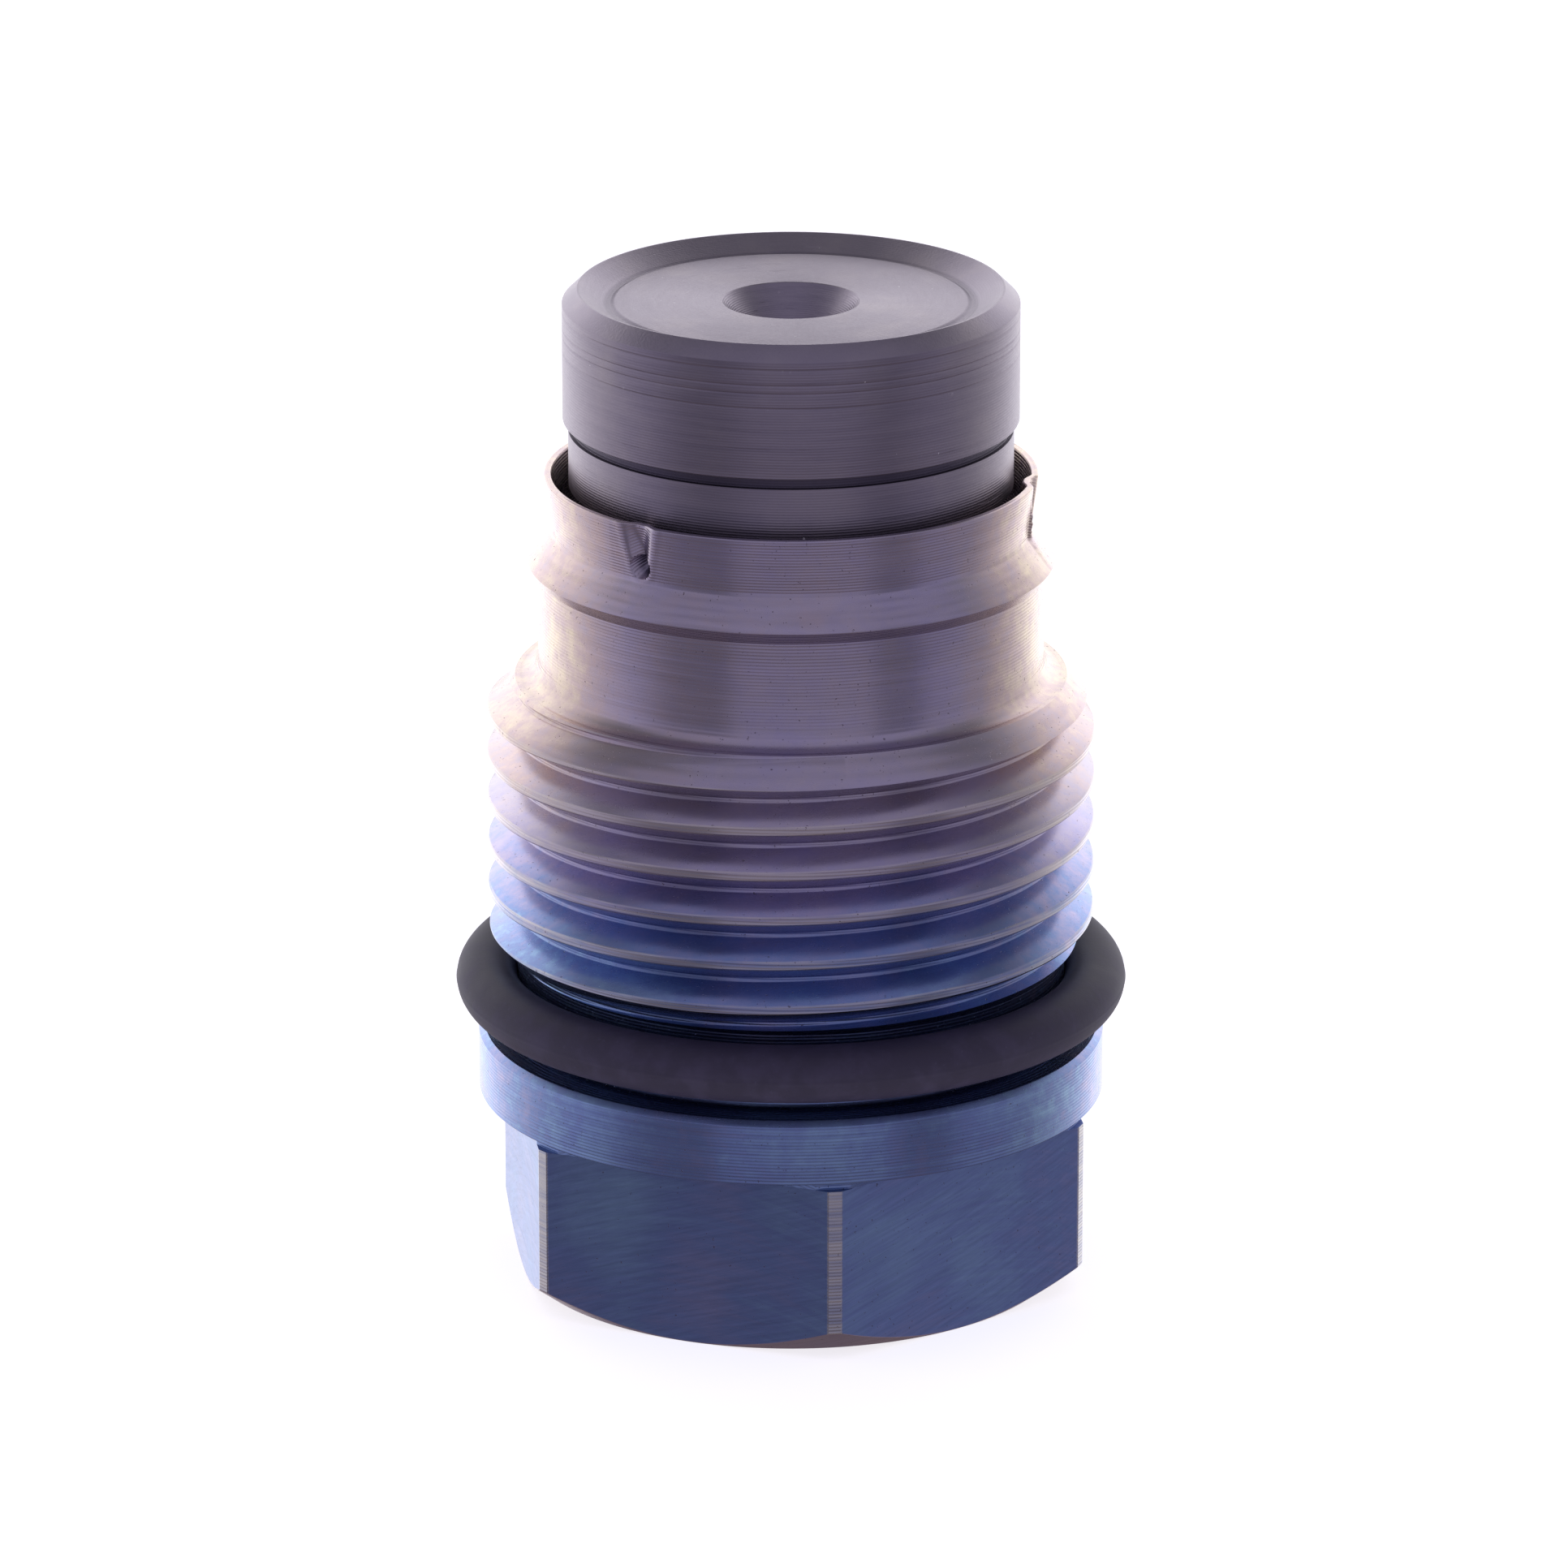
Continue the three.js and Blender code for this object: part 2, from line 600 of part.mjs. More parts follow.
function shim(bottom, thickness) {
  return turned([
    [0, bottom],
    [shimRadius, bottom],
    [shimRadius, bottom + thickness],
    [0, bottom + thickness],
  ]);
}

// ---------- the assembly ----------

const cartridge = new THREE.Group();

function piece(name, solid, material) {
  const mesh = new THREE.Mesh(geometryOf(solid), material);
  mesh.name = name;
  cartridge.add(mesh);
}

piece('housing', housing(), bluedSteel);
piece('o_ring', oRing(), nitrileRubber);
piece('valve_seat_body', seatBody(), phosphatedSteel);
piece('valve_piston', valvePiston(), hardenedSteel);
piece('spring_plate', springPlate(), groundSteel);
piece('compression_spring', compressionSpring(), springSteel);
piece('stroke_stop', strokeStop(), hardenedSteel);
piece('adjusting_shim_thin', shim(thinShimBottom, THIN_SHIM), groundSteel);
piece('adjusting_shim_thick', shim(thickShimBottom, THICK_SHIM), groundSteel);

export default cartridge;
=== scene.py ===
"""Looks of a screw-in pressure limiting valve cartridge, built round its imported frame.

Every piece is turned, milled, wound or moulded here as its own mesh, takes the place of the frame's
plain solid of the same name and moves with the same body.
"""

import json
import math

import bpy
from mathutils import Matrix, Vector


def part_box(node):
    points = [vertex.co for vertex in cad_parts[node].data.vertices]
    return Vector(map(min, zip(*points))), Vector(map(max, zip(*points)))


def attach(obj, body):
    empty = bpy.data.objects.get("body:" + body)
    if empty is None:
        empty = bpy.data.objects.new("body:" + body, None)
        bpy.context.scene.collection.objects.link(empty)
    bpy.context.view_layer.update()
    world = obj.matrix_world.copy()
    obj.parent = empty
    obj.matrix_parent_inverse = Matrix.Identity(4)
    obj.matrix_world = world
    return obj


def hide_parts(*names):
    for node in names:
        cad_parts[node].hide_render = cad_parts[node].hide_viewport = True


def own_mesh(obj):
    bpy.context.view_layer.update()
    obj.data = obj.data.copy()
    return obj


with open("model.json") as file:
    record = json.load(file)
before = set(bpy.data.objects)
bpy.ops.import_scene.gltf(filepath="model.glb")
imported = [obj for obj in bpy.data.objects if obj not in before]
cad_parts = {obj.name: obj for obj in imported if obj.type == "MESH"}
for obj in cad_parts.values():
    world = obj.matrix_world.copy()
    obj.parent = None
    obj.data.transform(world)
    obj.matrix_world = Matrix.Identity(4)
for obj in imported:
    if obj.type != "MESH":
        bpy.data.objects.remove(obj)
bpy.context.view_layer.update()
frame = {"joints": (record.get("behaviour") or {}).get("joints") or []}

bl_info = {
    "name": "Valve Cartridge",
    "version": (1, 0, 0),
    "blender": (4, 5, 0),
    "location": "View3D > Sidebar > Valve",
    "description": "Builds a screw-in pressure limiting valve cartridge with its finishes and stage",
    "category": "Mesh",
}

MM = 0.001
MERGE_DISTANCE = 2e-7
FULL_TURN = 2 * math.pi
THREAD_FLANK = math.tan(math.radians(30))
SEAT_SLOPE = math.tan(math.radians(30))
THREAD_OVERCUT = 0.15 * MM
ROOT_CORNER_SHARE = 0.45
TURNED_SPACING = 0.38 * MM
SLOT_ROUNDING = 0.3 * MM
STEM_FIT = 0.02 * MM
PIT_DIMPLE_REACH = 0.35
FLAP_START = 0.2
WIRE_POINTS_PER_TURN = 48
# Depth below the rim down to which the collar's bore gets painted shade.
COLLAR_ZONE = 4.9

SEAT_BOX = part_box("valve_seat_body")
RING_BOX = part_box("o_ring")
SPRING_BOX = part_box("compression_spring")
PLATE_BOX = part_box("spring_plate")
STOP_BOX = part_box("stroke_stop")
PISTON_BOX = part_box("valve_piston")


# ---------- sizes and colours ----------


def size(label, description, millimetres):
    """A length that a user may change, stored in metres."""
    return bpy.props.FloatProperty(
        name=label,
        description=description,
        default=millimetres * MM,
        min=0.0,
        precision=5,
        unit="LENGTH",
    )


def number(label, description, value, least=0):
    """A count that a user may change."""
    return bpy.props.IntProperty(name=label, description=description, default=value, min=least)


def angle(label, description, degrees):
    """An angle that a user may change, stored in radians."""
    return bpy.props.FloatProperty(
        name=label, description=description, default=math.radians(degrees), subtype="ANGLE"
    )


def radiance(label, description, value):
    """A brightness of the studio that a user may change."""
    return bpy.props.FloatProperty(name=label, description=description, default=value, min=0.0)


def colour(label, description, value):
    """A linear colour that a user may change."""
    return bpy.props.FloatVectorProperty(
        name=label, description=description, default=value, size=3, min=0.0, max=1.0, subtype="COLOR"
    )


class HousingSizes(bpy.types.PropertyGroup):
    """Sizes of the turned and milled housing, from the hexagon up."""

    facets: number("Facets", "Facets round every turned surface", 240, 48)
    across_flats: size("Across flats", "Wrench size of the hexagon", 17.86)
    corner_radius: size("Corner radius", "Turned radius that cuts the hexagon's corners", 10.2)
    bottom_radius: size("Bottom radius", "Radius of the hexagon's lower face", 8.92)
    bottom_chamfer: size("Bottom chamfer", "Height of the hexagon's lower chamfer", 0.96)
    hexagon_height: size("Hexagon height", "Height of the hexagon's corners", 5.82)
    relief_radius: size("Hexagon relief radius", "Radius of the recess under the flange", 9.98)
    relief_width: size("Hexagon relief width", "Height of the recess under the flange", 0.27)
    corner_angle: angle("Corner angle", "Direction of one hexagon corner, from +X", -82.1)
    flange_radius: size("Flange radius", "Radius of the sealing flange", 10.24)
    flange_thickness: size("Flange thickness", "Thickness of the sealing flange", 2.14)
    flange_chamfer: size("Flange chamfer", "Chamfer on the flange's upper edge", 0.19)
    shank_radius: size("Shank radius", "Radius of the relief between flange and thread", 8.95)
    shank_length: size("Shank length", "Length of the relief between flange and thread", 2.52)
    shank_fillet: size("Shank fillet", "Fillet where the shank meets the flange", 0.22)
    major_radius: size("Thread radius", "Radius of the thread's crest", 9.88)
    thread_depth: size("Thread depth", "Height of the thread's ridge", 0.92)
    thread_length: size("Thread length", "Length of the threaded part with its chamfers", 9.35)
    pitch: size("Pitch", "Rise of the thread in one turn", 1.5)
    crest_width: size("Crest width", "Width of the flat on the thread's crest", 0.28)
    root_rounding: size("Root rounding", "Radius at the bottom of the thread's groove", 0.13)
    crest_wear: size("Crest wear", "Small chamfer worn on the crest's edges", 0.035)
    lead_offset: size("Lead offset", "Height of the crest above the thread's lower end, at the front", 1.12)
    neck_radius: size("Neck radius", "Radius of the plain neck", 8.2)
    neck_fillet: size("Neck fillet", "Fillet at the foot of the neck", 0.68)
    neck_length: size("Neck length", "Length of the neck with its fillet", 3.55)
    neck_flare: size("Neck flare", "Length of the hollow flare under the sharp edge", 0.08)
    bulge_radius: size("Bulge radius", "Radius of the sharp edge above the neck", 8.55)
    waist_radius: size("Waist radius", "Outer radius of the collar at its waist", 7.74)
    waist_rise: size("Waist rise", "Height of the waist above the bulge", 1.02)
    rim_radius: size("Rim radius", "Outer radius of the collar's rim", 8.0)
    collar_height: size("Collar height", "Height of the rim above the bulge", 2.9)
    lip_thickness: size("Lip thickness", "Wall of the collar at its rim", 0.25)
    collar_bore: size("Collar bore", "Radius of the bore that takes the seat body", 7.42)
    shoulder_drop: size("Shoulder drop", "Depth of the bore's shoulder below the bulge", 1.5)
    chamber_radius: size("Chamber radius", "Radius of the spring chamber", 5.4)
    chamber_floor: size("Chamber floor", "Height of the spring chamber's floor", 2.5)
    edge_break: size("Edge break", "Rounding left on every machined edge", 0.035)


class StakeSizes(bpy.types.PropertyGroup):
    """Sizes of the punch marks that hold the seat body in the collar."""

    count: number("Stakes", "Punch marks round the collar", 3, 1)
    first_angle: angle("First stake", "Direction of the first mark, from +X", -128)
    below_rim: size("Stake depth", "Height of the rim above the punched pit", 1.42)
    mouth_width: size("Mouth width", "Half width of the mark at the rim", 0.74)
    mouth_push: size("Mouth push", "How far the rim is pushed in", 0.2)
    foot_push: size("Foot push", "How far the mark is pushed in just above the pit", 0.42)
    flank: size("Flank", "Width of the mark's sloping sides", 0.6)
    pit_radius: size("Pit radius", "Radius of the punched pit", 0.38)
    pit_push: size("Pit push", "How far the pit is pushed in beyond the rest of the mark", 0.26)
    pit_dimple: size("Pit dimple", "Height of the small bump that the punch left in the pit", 0.05)
    burr_width: size("Burr width", "Width of the metal raised beside the marks", 0.3)
    burr_height: size("Burr height", "Height of the metal raised beside the marks", 0.012)
    flap_push: size("Flap push", "How far one side of the second mark stands out", 0.15)
    grid: size("Grid", "Height of the rings that the collar wall is divided into at a mark", 0.08)


class SeatBodySizes(bpy.types.PropertyGroup):
    """Sizes of the dark seat body, from its sharp ring edge down."""

    radius: size("Radius", "Radius of the upper body", 7.37)
    lower_radius: size("Lower radius", "Radius below the undercut", 7.19)
    step_drop: size("Step drop", "Depth of the undercut below the top", 4.66)
    undercut: size("Undercut", "Height of the undercut line", 0.3)
    undercut_depth: size("Undercut depth", "Depth of the undercut line", 0.14)
    turned_grooves: number("Turned grooves", "Shallow grooves that the tool left near the ring edge", 4)
    turned_groove: size("Turned groove", "Depth of those shallow grooves", 0.022)
    edge_radius: size("Ring edge radius", "Radius of the sharp ring edge", 6.85)
    edge_land: size("Ring edge land", "Width of the flat on the ring edge", 0.06)
    edge_chamfer: size("Ring edge chamfer", "Height of the chamfer outside the ring edge", 0.47)
    recess_radius: size("Recess radius", "Radius of the recessed end face", 5.95)
    recess_depth: size("Recess depth", "Depth of the recessed end face", 0.43)
    recess_groove: size("Recess groove", "Depth of the tool's groove at the foot of the recess", 0.07)
    countersink_radius: size("Countersink radius", "Radius of the inlet's countersink", 2.22)
    countersink_depth: size("Countersink depth", "Depth of the inlet's countersink", 1.35)
    inlet_radius: size("Inlet radius", "Radius of the inlet bore", 1.2)
    inlet_length: size("Inlet length", "Length of the inlet bore", 2.2)
    outlet_radius: size("Outlet radius", "Radius of the chamber under the seat", 3.3)
    outlet_length: size("Outlet length", "Length of the chamber under the seat", 1.6)
    guide_radius: size("Guide radius", "Radius of the piston's guide bore", 2.5)
    spigot_radius: size("Spigot radius", "Radius of the lower spigot", 5.05)
    spigot_length: size("Spigot length", "Length of the lower spigot", 2.6)
    collar_radius: size("Collar radius", "Radius of the guiding collar", 7.37)
    collar_height: size("Collar height", "Height of the guiding collar", 2.1)
    groove_depth: size("Stake groove depth", "Depth of the groove that the stakes enter", 0.37)
    groove_height: size("Stake groove height", "Height of the groove that the stakes enter", 1.35)
    slot_width: size("Slot width", "Width of the return flow slots", 2.4)
    slots: number("Slots", "Return flow slots round the collar", 4, 2)


class InnerSizes(bpy.types.PropertyGroup):
    """Sizes of the pieces inside the housing."""

    piston_radius: size("Piston radius", "Guided radius of the piston", 2.47)
    piston_neck: size("Piston neck", "Radius below the piston's cone", 2.2)
    piston_tip: size("Piston tip", "Radius of the cone's blunt tip", 0.7)
    flat_distance: size("Flat distance", "Distance of the flow flats from the axis", 1.85)
    flats: number("Flats", "Flow flats round the piston", 3, 2)
    stem_radius: size("Stem radius", "Radius of the piston's stem", 1.5)
    stem_length: size("Stem length", "Length of the piston's stem", 1.2)
    plate_thickness: size("Plate thickness", "Thickness of the spring plate's disc", 1.5)
    boss_radius: size("Boss radius", "Radius of the spring plate's boss", 2.5)
    wire_radius: size("Wire radius", "Radius of the spring's wire", 0.95)
    spring_turns: bpy.props.FloatProperty(
        name="Spring turns", description="Turns of the spring with its closed ends", default=5.5, min=3.0
    )
    end_grind: size("End grind", "Depth ground off the spring's end turns", 0.475)
    stop_flange: size("Stop flange", "Thickness of the stroke stop's foot", 1.2)
    stop_pin: size("Stop pin", "Radius of the stroke stop's pin", 2.2)


class RingSizes(bpy.types.PropertyGroup):
    """Sizes of the O-ring's moulded details."""

    shank_gap: size("Shank gap", "Gap between the ring and the housing's shank", 0.01)
    flash_width: size("Flash width", "Width of the mould line", 0.05)
    flash_height: size("Flash height", "Height of the mould line", 0.015)


class Finishes(bpy.types.PropertyGroup):
    """Colours of the steel, its heat tint and the rubber."""

    bare: colour("Bare steel", "Worn thread crests and turned corners", (0.58, 0.53, 0.46))
    # On the neck's and collar's left and right sides, as seen from the camera, this tint is a painted
    # highlight on the rims; elsewhere it is the film's own colour.
    straw: colour("Straw tint", "Thinnest oxide film, on the collar's and neck's sides", (0.66, 0.56, 0.44))
    rose: colour("Rose tint", "Oxide film between straw and mauve", (0.52, 0.41, 0.41))
    mauve: colour("Mauve tint", "Oxide film of the neck and collar", (0.44, 0.39, 0.47))
    violet: colour("Violet tint", "Oxide film between mauve and blue", (0.36, 0.33, 0.5))
    blue: colour("Blue tint", "Oxide film of the lower half", (0.2, 0.27, 0.5))
    pale_blue: colour("Pale blue tint", "Thickest film, in patches low down", (0.3, 0.47, 0.64))
    phosphate: colour("Phosphate", "Dark coating of the seat body", (0.31, 0.275, 0.325))
    phosphate_dark: colour("Phosphate dark", "Darker streaks of the coating", (0.265, 0.235, 0.285))
    phosphate_worn: colour("Phosphate worn", "Paler clouds in the coating", (0.36, 0.32, 0.34))
    scuff: colour("Scuff", "Rubbed spots on the seat body", (0.52, 0.48, 0.52))
    dust: colour("Dust", "Light grains on the seat body", (0.85, 0.83, 0.84))
    speck: colour("Speck", "Small dark pits of the housing", (0.12, 0.09, 0.1))
    hardened: colour("Hardened steel", "Piston and stop", (0.55, 0.55, 0.57))
    ground: colour("Ground steel", "Shims and spring plate", (0.48, 0.49, 0.52))
    spring: colour("Spring steel", "Oiled spring wire", (0.24, 0.22, 0.21))
    # Painted shade: this dark colour is laid into the seat body's undercut and recess groove and into the
    # collar's bore, where shade falls.
    grime: colour("Painted shade", "Dark residue in the undercut and the recess groove", (0.05, 0.042, 0.07))
    rubber: colour("Rubber", "Nitrile rubber of the O-ring", (0.03, 0.024, 0.05))


class StageSettings(bpy.types.PropertyGroup):
    """The camera, the floor and the light."""

    elevation: angle("Elevation", "Angle of the camera above the floor", 18.03)
    distance: size("Distance", "Distance of the camera from the point it looks at", 340.0)
    target_side: size("Target side", "How far left of the axis the camera looks", 0.229)
    target_height: size("Target height", "Height of the point that the camera looks at", 16.259)
    lens: bpy.props.FloatProperty(
        name="Lens", description="Focal length on a 36 mm wide sensor", default=239.5, min=1.0,
        unit="CAMERA",
    )
    floor_reach: size("Floor reach", "Half the width of the floor", 2500.0)
    floor_colour: colour("Floor colour", "Plain pale floor", (0.93, 0.925, 0.94))
    overhead: radiance("Overhead", "Radiance of the studio above the valve", 0.42)
    overhead_behind: radiance("Overhead behind", "Radiance above and behind, seen in thread flanks", 0.2)
    underneath: radiance("Underneath", "Radiance below the valve, seen in downward chamfers", 0.22)


# Radiance round the studio: (degrees from the camera's side, positive to the right; radiance)
STUDIO_BANDS = (
    (-180, 1.5), (-150, 1.8), (-120, 1.15), (-100, 0.75), (-76, 0.5), (-56, 0.24), (-31, 0.19),
    (-24, 0.37), (35, 0.37), (42, 0.22), (58, 0.22), (64, 0.36), (98, 0.42), (118, 0.75), (132, 1.1),
    (152, 1.8), (180, 1.5),
)
STUDIO_PEAK = 2.0
LIGHT_BY_CAMERA = (0.97, 0.92, 1.22)
LIGHT_BEHIND = (1.0, 0.985, 1.03)
LIGHT_BELOW = (1.0, 0.84, 0.98)
FLOOR_GLOW = (1.0, 0.99, 1.0)
FLOOR_GLOW_STRENGTH = 0.72


# ---------- shader expressions ----------


class Value:
    """A shader socket that Python's operators extend with Math nodes."""

    def __init__(self, shader, socket):
        self.shader = shader
        self.socket = socket

    def math(self, operation, *others):
        return self.shader.node("ShaderNodeMath", {"operation": operation}, self, *others)

    def __add__(self, other):
        return self.math("ADD", other)

    def __sub__(self, other):
        return self.math("SUBTRACT", other)

    def __rsub__(self, other):
        return self.shader.node("ShaderNodeMath", {"operation": "SUBTRACT"}, other, self)

    def __mul__(self, other):
        return self.math("MULTIPLY", other)

    def __truediv__(self, other):
        return self.math("DIVIDE", other)

    def __pow__(self, other):
        return self.math("POWER", other)

    __radd__ = __add__
    __rmul__ = __mul__

    def sine(self):
        return self.math("SINE")


class Shader:
    """The node tree of a material or of the world."""

    def __init__(self, owner):
        owner.use_nodes = True
        self.tree = owner.node_tree
        self.tree.nodes.clear()

    def node(self, kind, settings=None, *inputs, output=0, **named):
        """Adds a node, sets it up, then gives its sockets values or links. Returns one output."""
        made = self.tree.nodes.new(kind)
        for key, value in (settings or {}).items():
            if key == "stops":
                self.set_stops(made.color_ramp, value)
            else:
                setattr(made, key, value)
        for place, value in enumerate(inputs):
            self.feed(made.inputs[place], value)
        for key, value in named.items():
            label = key.replace("_", " ")
            socket = next(s for s in made.inputs if s.enabled and s.name.lower() == label)
            self.feed(socket, value)
        return Value(self, made.outputs[output])

    def feed(self, socket, value):
        if isinstance(value, Value):
            self.tree.links.new(value.socket, socket)
        elif value is not None:
            socket.default_value = value

    @staticmethod
    def set_stops(ramp, stops):
        while len(ramp.elements) < len(stops):
            ramp.elements.new(1.0)
        for element, (position, tone) in zip(ramp.elements, stops):
            element.position = position
            element.color = (*tone, 1.0)

    def coordinates(self):
        """x, y, z of the point on the piece, in millimetres."""
        point = self.node("ShaderNodeTexCoord", output=3)
        scaled = self.node("ShaderNodeVectorMath", {"operation": "SCALE"}, point, scale=1 / MM)
        parts = self.node("ShaderNodeSeparateXYZ", None, scaled)
        node = parts.socket.node
        return [Value(self, node.outputs[i]) for i in range(3)], scaled

    def vector(self, x, y, z):
        return self.node("ShaderNodeCombineXYZ", None, x, y, z)

    def noise(self, vector, scale, detail=3.0, roughness=0.55):
        return self.node(
            "ShaderNodeTexNoise",
            {"noise_dimensions": "3D", "normalize": True},
            vector=vector,
            scale=scale,
            detail=detail,
            roughness=roughness,
        )

    def step(self, value, low, high):
        """0 below low, 1 above high, smooth between."""
        return self.node(
            "ShaderNodeMapRange",
            {"interpolation_type": "SMOOTHSTEP"},
            value=value,
            from_min=low,
            from_max=high,
            to_min=0.0,
            to_max=1.0,
        )

    def blend(self, first, second, share, mode="MIX"):
        """A colour between two colours."""
        made = self.tree.nodes.new("ShaderNodeMix")
        made.data_type = "RGBA"
        made.blend_type = mode
        made.clamp_factor = True
        self.feed(made.inputs[0], share)
        self.feed(made.inputs[6], opaque(first))
        self.feed(made.inputs[7], opaque(second))
        return Value(self, made.outputs[2])

    def bump(self, height):
        """A normal from a height in millimetres."""
        return self.node("ShaderNodeBump", None, strength=1.0, distance=MM, height=height)

    def finish(self, surface, kind="ShaderNodeOutputMaterial"):
        self.tree.links.new(surface.socket, self.tree.nodes.new(kind).inputs["Surface"])


def opaque(tone):
    """A colour's four numbers, or the link that was given."""
    return tone if isinstance(tone, Value) else (*tone, 1.0)


def turning(shader, feed_pitch, feed_height, streak_height):
    """Coordinates and relief of a lathe-turned surface.

    The feed coordinate grows along cylinders, faces and cones alike, so the tool's rings show on all.
    """
    (x, y, z), point = shader.coordinates()
    radius = (x * x + y * y) ** 0.5
    feed = z + radius * 0.7
    around = shader.vector(x / radius, y / radius, 0.0)
    swirl = shader.node("ShaderNodeVectorMath", {"operation": "SCALE"}, around, scale=1.6)
    along = shader.vector(0.0, 0.0, feed * 6.0)
    ringed = shader.node("ShaderNodeVectorMath", {"operation": "ADD"}, swirl, along)
    streaks = shader.noise(ringed, 1.0, detail=4.0, roughness=0.65)
    wander = shader.noise(point, 0.35, detail=1.0)
    rings = (feed * (FULL_TURN / feed_pitch) + wander * 3.0).sine()
    height = rings * feed_height + (streaks - 0.5) * streak_height
    return {"x": x, "y": y, "z": z, "radius": radius, "point": point, "feed": feed,
            "streaks": streaks, "rings": rings, "height": height}


def metal_surface(shader, tone, roughness, normal, anisotropy):
    """A metal with the highlight drawn out across the turning marks."""
    return shader.node(
        "ShaderNodeBsdfPrincipled",
        None,
        base_color=tone,
        metallic=1.0,
        roughness=roughness,
        anisotropic=anisotropy,
        anisotropic_rotation=0.25,
        normal=normal,
    )


def oxide_film(shader, finishes, thickness):
    """The colour of heat-tinted steel for a film thickness from 0 to 1."""
    tones = (
        (0.0, finishes.straw), (0.2, finishes.rose), (0.4, finishes.mauve), (0.6, finishes.violet),
        (0.8, finishes.blue), (1.0, finishes.pale_blue),
    )
    return shader.node("ShaderNodeValToRGB", {"stops": tones}, thickness)


def milling_marks(shader, skin):
    """Fine slanting marks of the cutter on the flats, as a number round 0.5."""
    turn_from_front = shader.node("ShaderNodeMath", {"operation": "ARCTAN2"}, skin["x"], skin["y"] * -1.0)
    across = turn_from_front * skin["radius"]
    slant = math.radians(17)
    run = across * math.cos(slant) + skin["z"] * math.sin(slant)
    rise = skin["z"] * math.cos(slant) - across * math.sin(slant)
    return shader.noise(shader.vector(run * 0.45, rise * 7.0, 0.0), 1.0, detail=4.0, roughness=0.7)


def blued_steel(finishes, sizes):
    """Housing steel: mauve and straw heat tint above, bluing below, bare metal on crests and corners."""
    material = bpy.data.materials.new("tinted_steel")
    shader = Shader(material)
    skin = turning(shader, 0.11, 0.003, 0.004)
    z, radius, point, streaks = skin["z"], skin["radius"], skin["point"], skin["streaks"]
    cloud = shader.noise(point, 0.22, detail=2.0, roughness=0.5)
    patches = shader.noise(point, 1.5, detail=5.0, roughness=0.7)
    # Painted highlight: the sides seen left and right of the camera, where the rims catch the bright
    # backdrop, get a thinner, paler straw film and stronger mottling.
    side = shader.step(skin["x"].math("ABSOLUTE") / radius, 0.6, 0.95)
    low = 1.0 - shader.step(z + (cloud - 0.5) * 7.0, 12.5, 18.5)
    thin = side * (shader.step(z, 15.0, 21.0) * 0.26 + 0.04)
    upper = shader.step(z, 5.8, 6.6)
    mottle = (patches - 0.5) * (side * 0.42 + 0.26) * (upper * 0.75 + 0.25)
    mottle = mottle + (cloud - 0.5) * 0.35 + (streaks - 0.5) * 0.16
    foot = sizes.bottom_radius / MM
    widening = (sizes.corner_radius - sizes.bottom_radius) / sizes.bottom_chamfer
    chamfer = shader.step(radius - z * widening, foot - 0.04, foot - 0.01)
    chamfer = chamfer * (1.0 - shader.step(z, sizes.bottom_chamfer / MM, sizes.bottom_chamfer / MM + 0.05))
    thickness = low * 0.4 + 0.41 - thin + mottle - chamfer * 0.5
    tone = oxide_film(shader, finishes, thickness)
    hexagon = 1.0 - shader.step(z, sizes.hexagon_height / MM, sizes.hexagon_height / MM + 0.02)
    corner = hexagon * shader.step(radius, sizes.corner_radius / MM - 0.04, sizes.corner_radius / MM - 0.012)
    flats = hexagon - corner
    marks = milling_marks(shader, skin)
    crest = shader.step(radius, sizes.major_radius / MM - 0.05, sizes.major_radius / MM - 0.02)
    crest = crest * shader.step(z, 10.5, 11.0)
    wear = shader.step(streaks, 0.35, 0.6)
    bare = crest * (wear * 0.45 + 0.12) + corner * (wear * 0.3 + 0.45)
    tone = shader.blend(tone, finishes.bare, bare)
    shade = streaks * (1.0 - flats) * 0.5 + flats * (marks * 0.6 - 0.12) + 0.75
    tone = shader.blend(tone, shader.vector(shade, shade, shade), 1.0, mode="MULTIPLY")
    # Painted shade: the collar's bore and shoulder, in the gap round the seat body, are darkened with the
    # shade colour.
    waist = sizes.waist_radius / MM
    collar_foot = rim_height(sizes) / MM - COLLAR_ZONE
    bore_shade = shader.step(z, collar_foot, collar_foot + 0.3)
    bore_shade = bore_shade * (1.0 - shader.step(radius, waist - 0.3, waist - 0.06))
    tone = shader.blend(tone, finishes.grime, bore_shade * 0.6)
    specks = shader.step(shader.noise(point, 9.0, detail=2.0), 0.69, 0.74)
    tone = shader.blend(tone, finishes.speck, specks * 0.6)
    roughness = streaks * 0.14 + 0.2 - bare * 0.05 + specks * 0.2 + flats * 0.12
    relief = skin["height"] * (1.0 - flats) + flats * marks * 0.006 - specks * 0.005
    shader.finish(metal_surface(shader, tone, roughness, shader.bump(relief), 0.55))
    return material


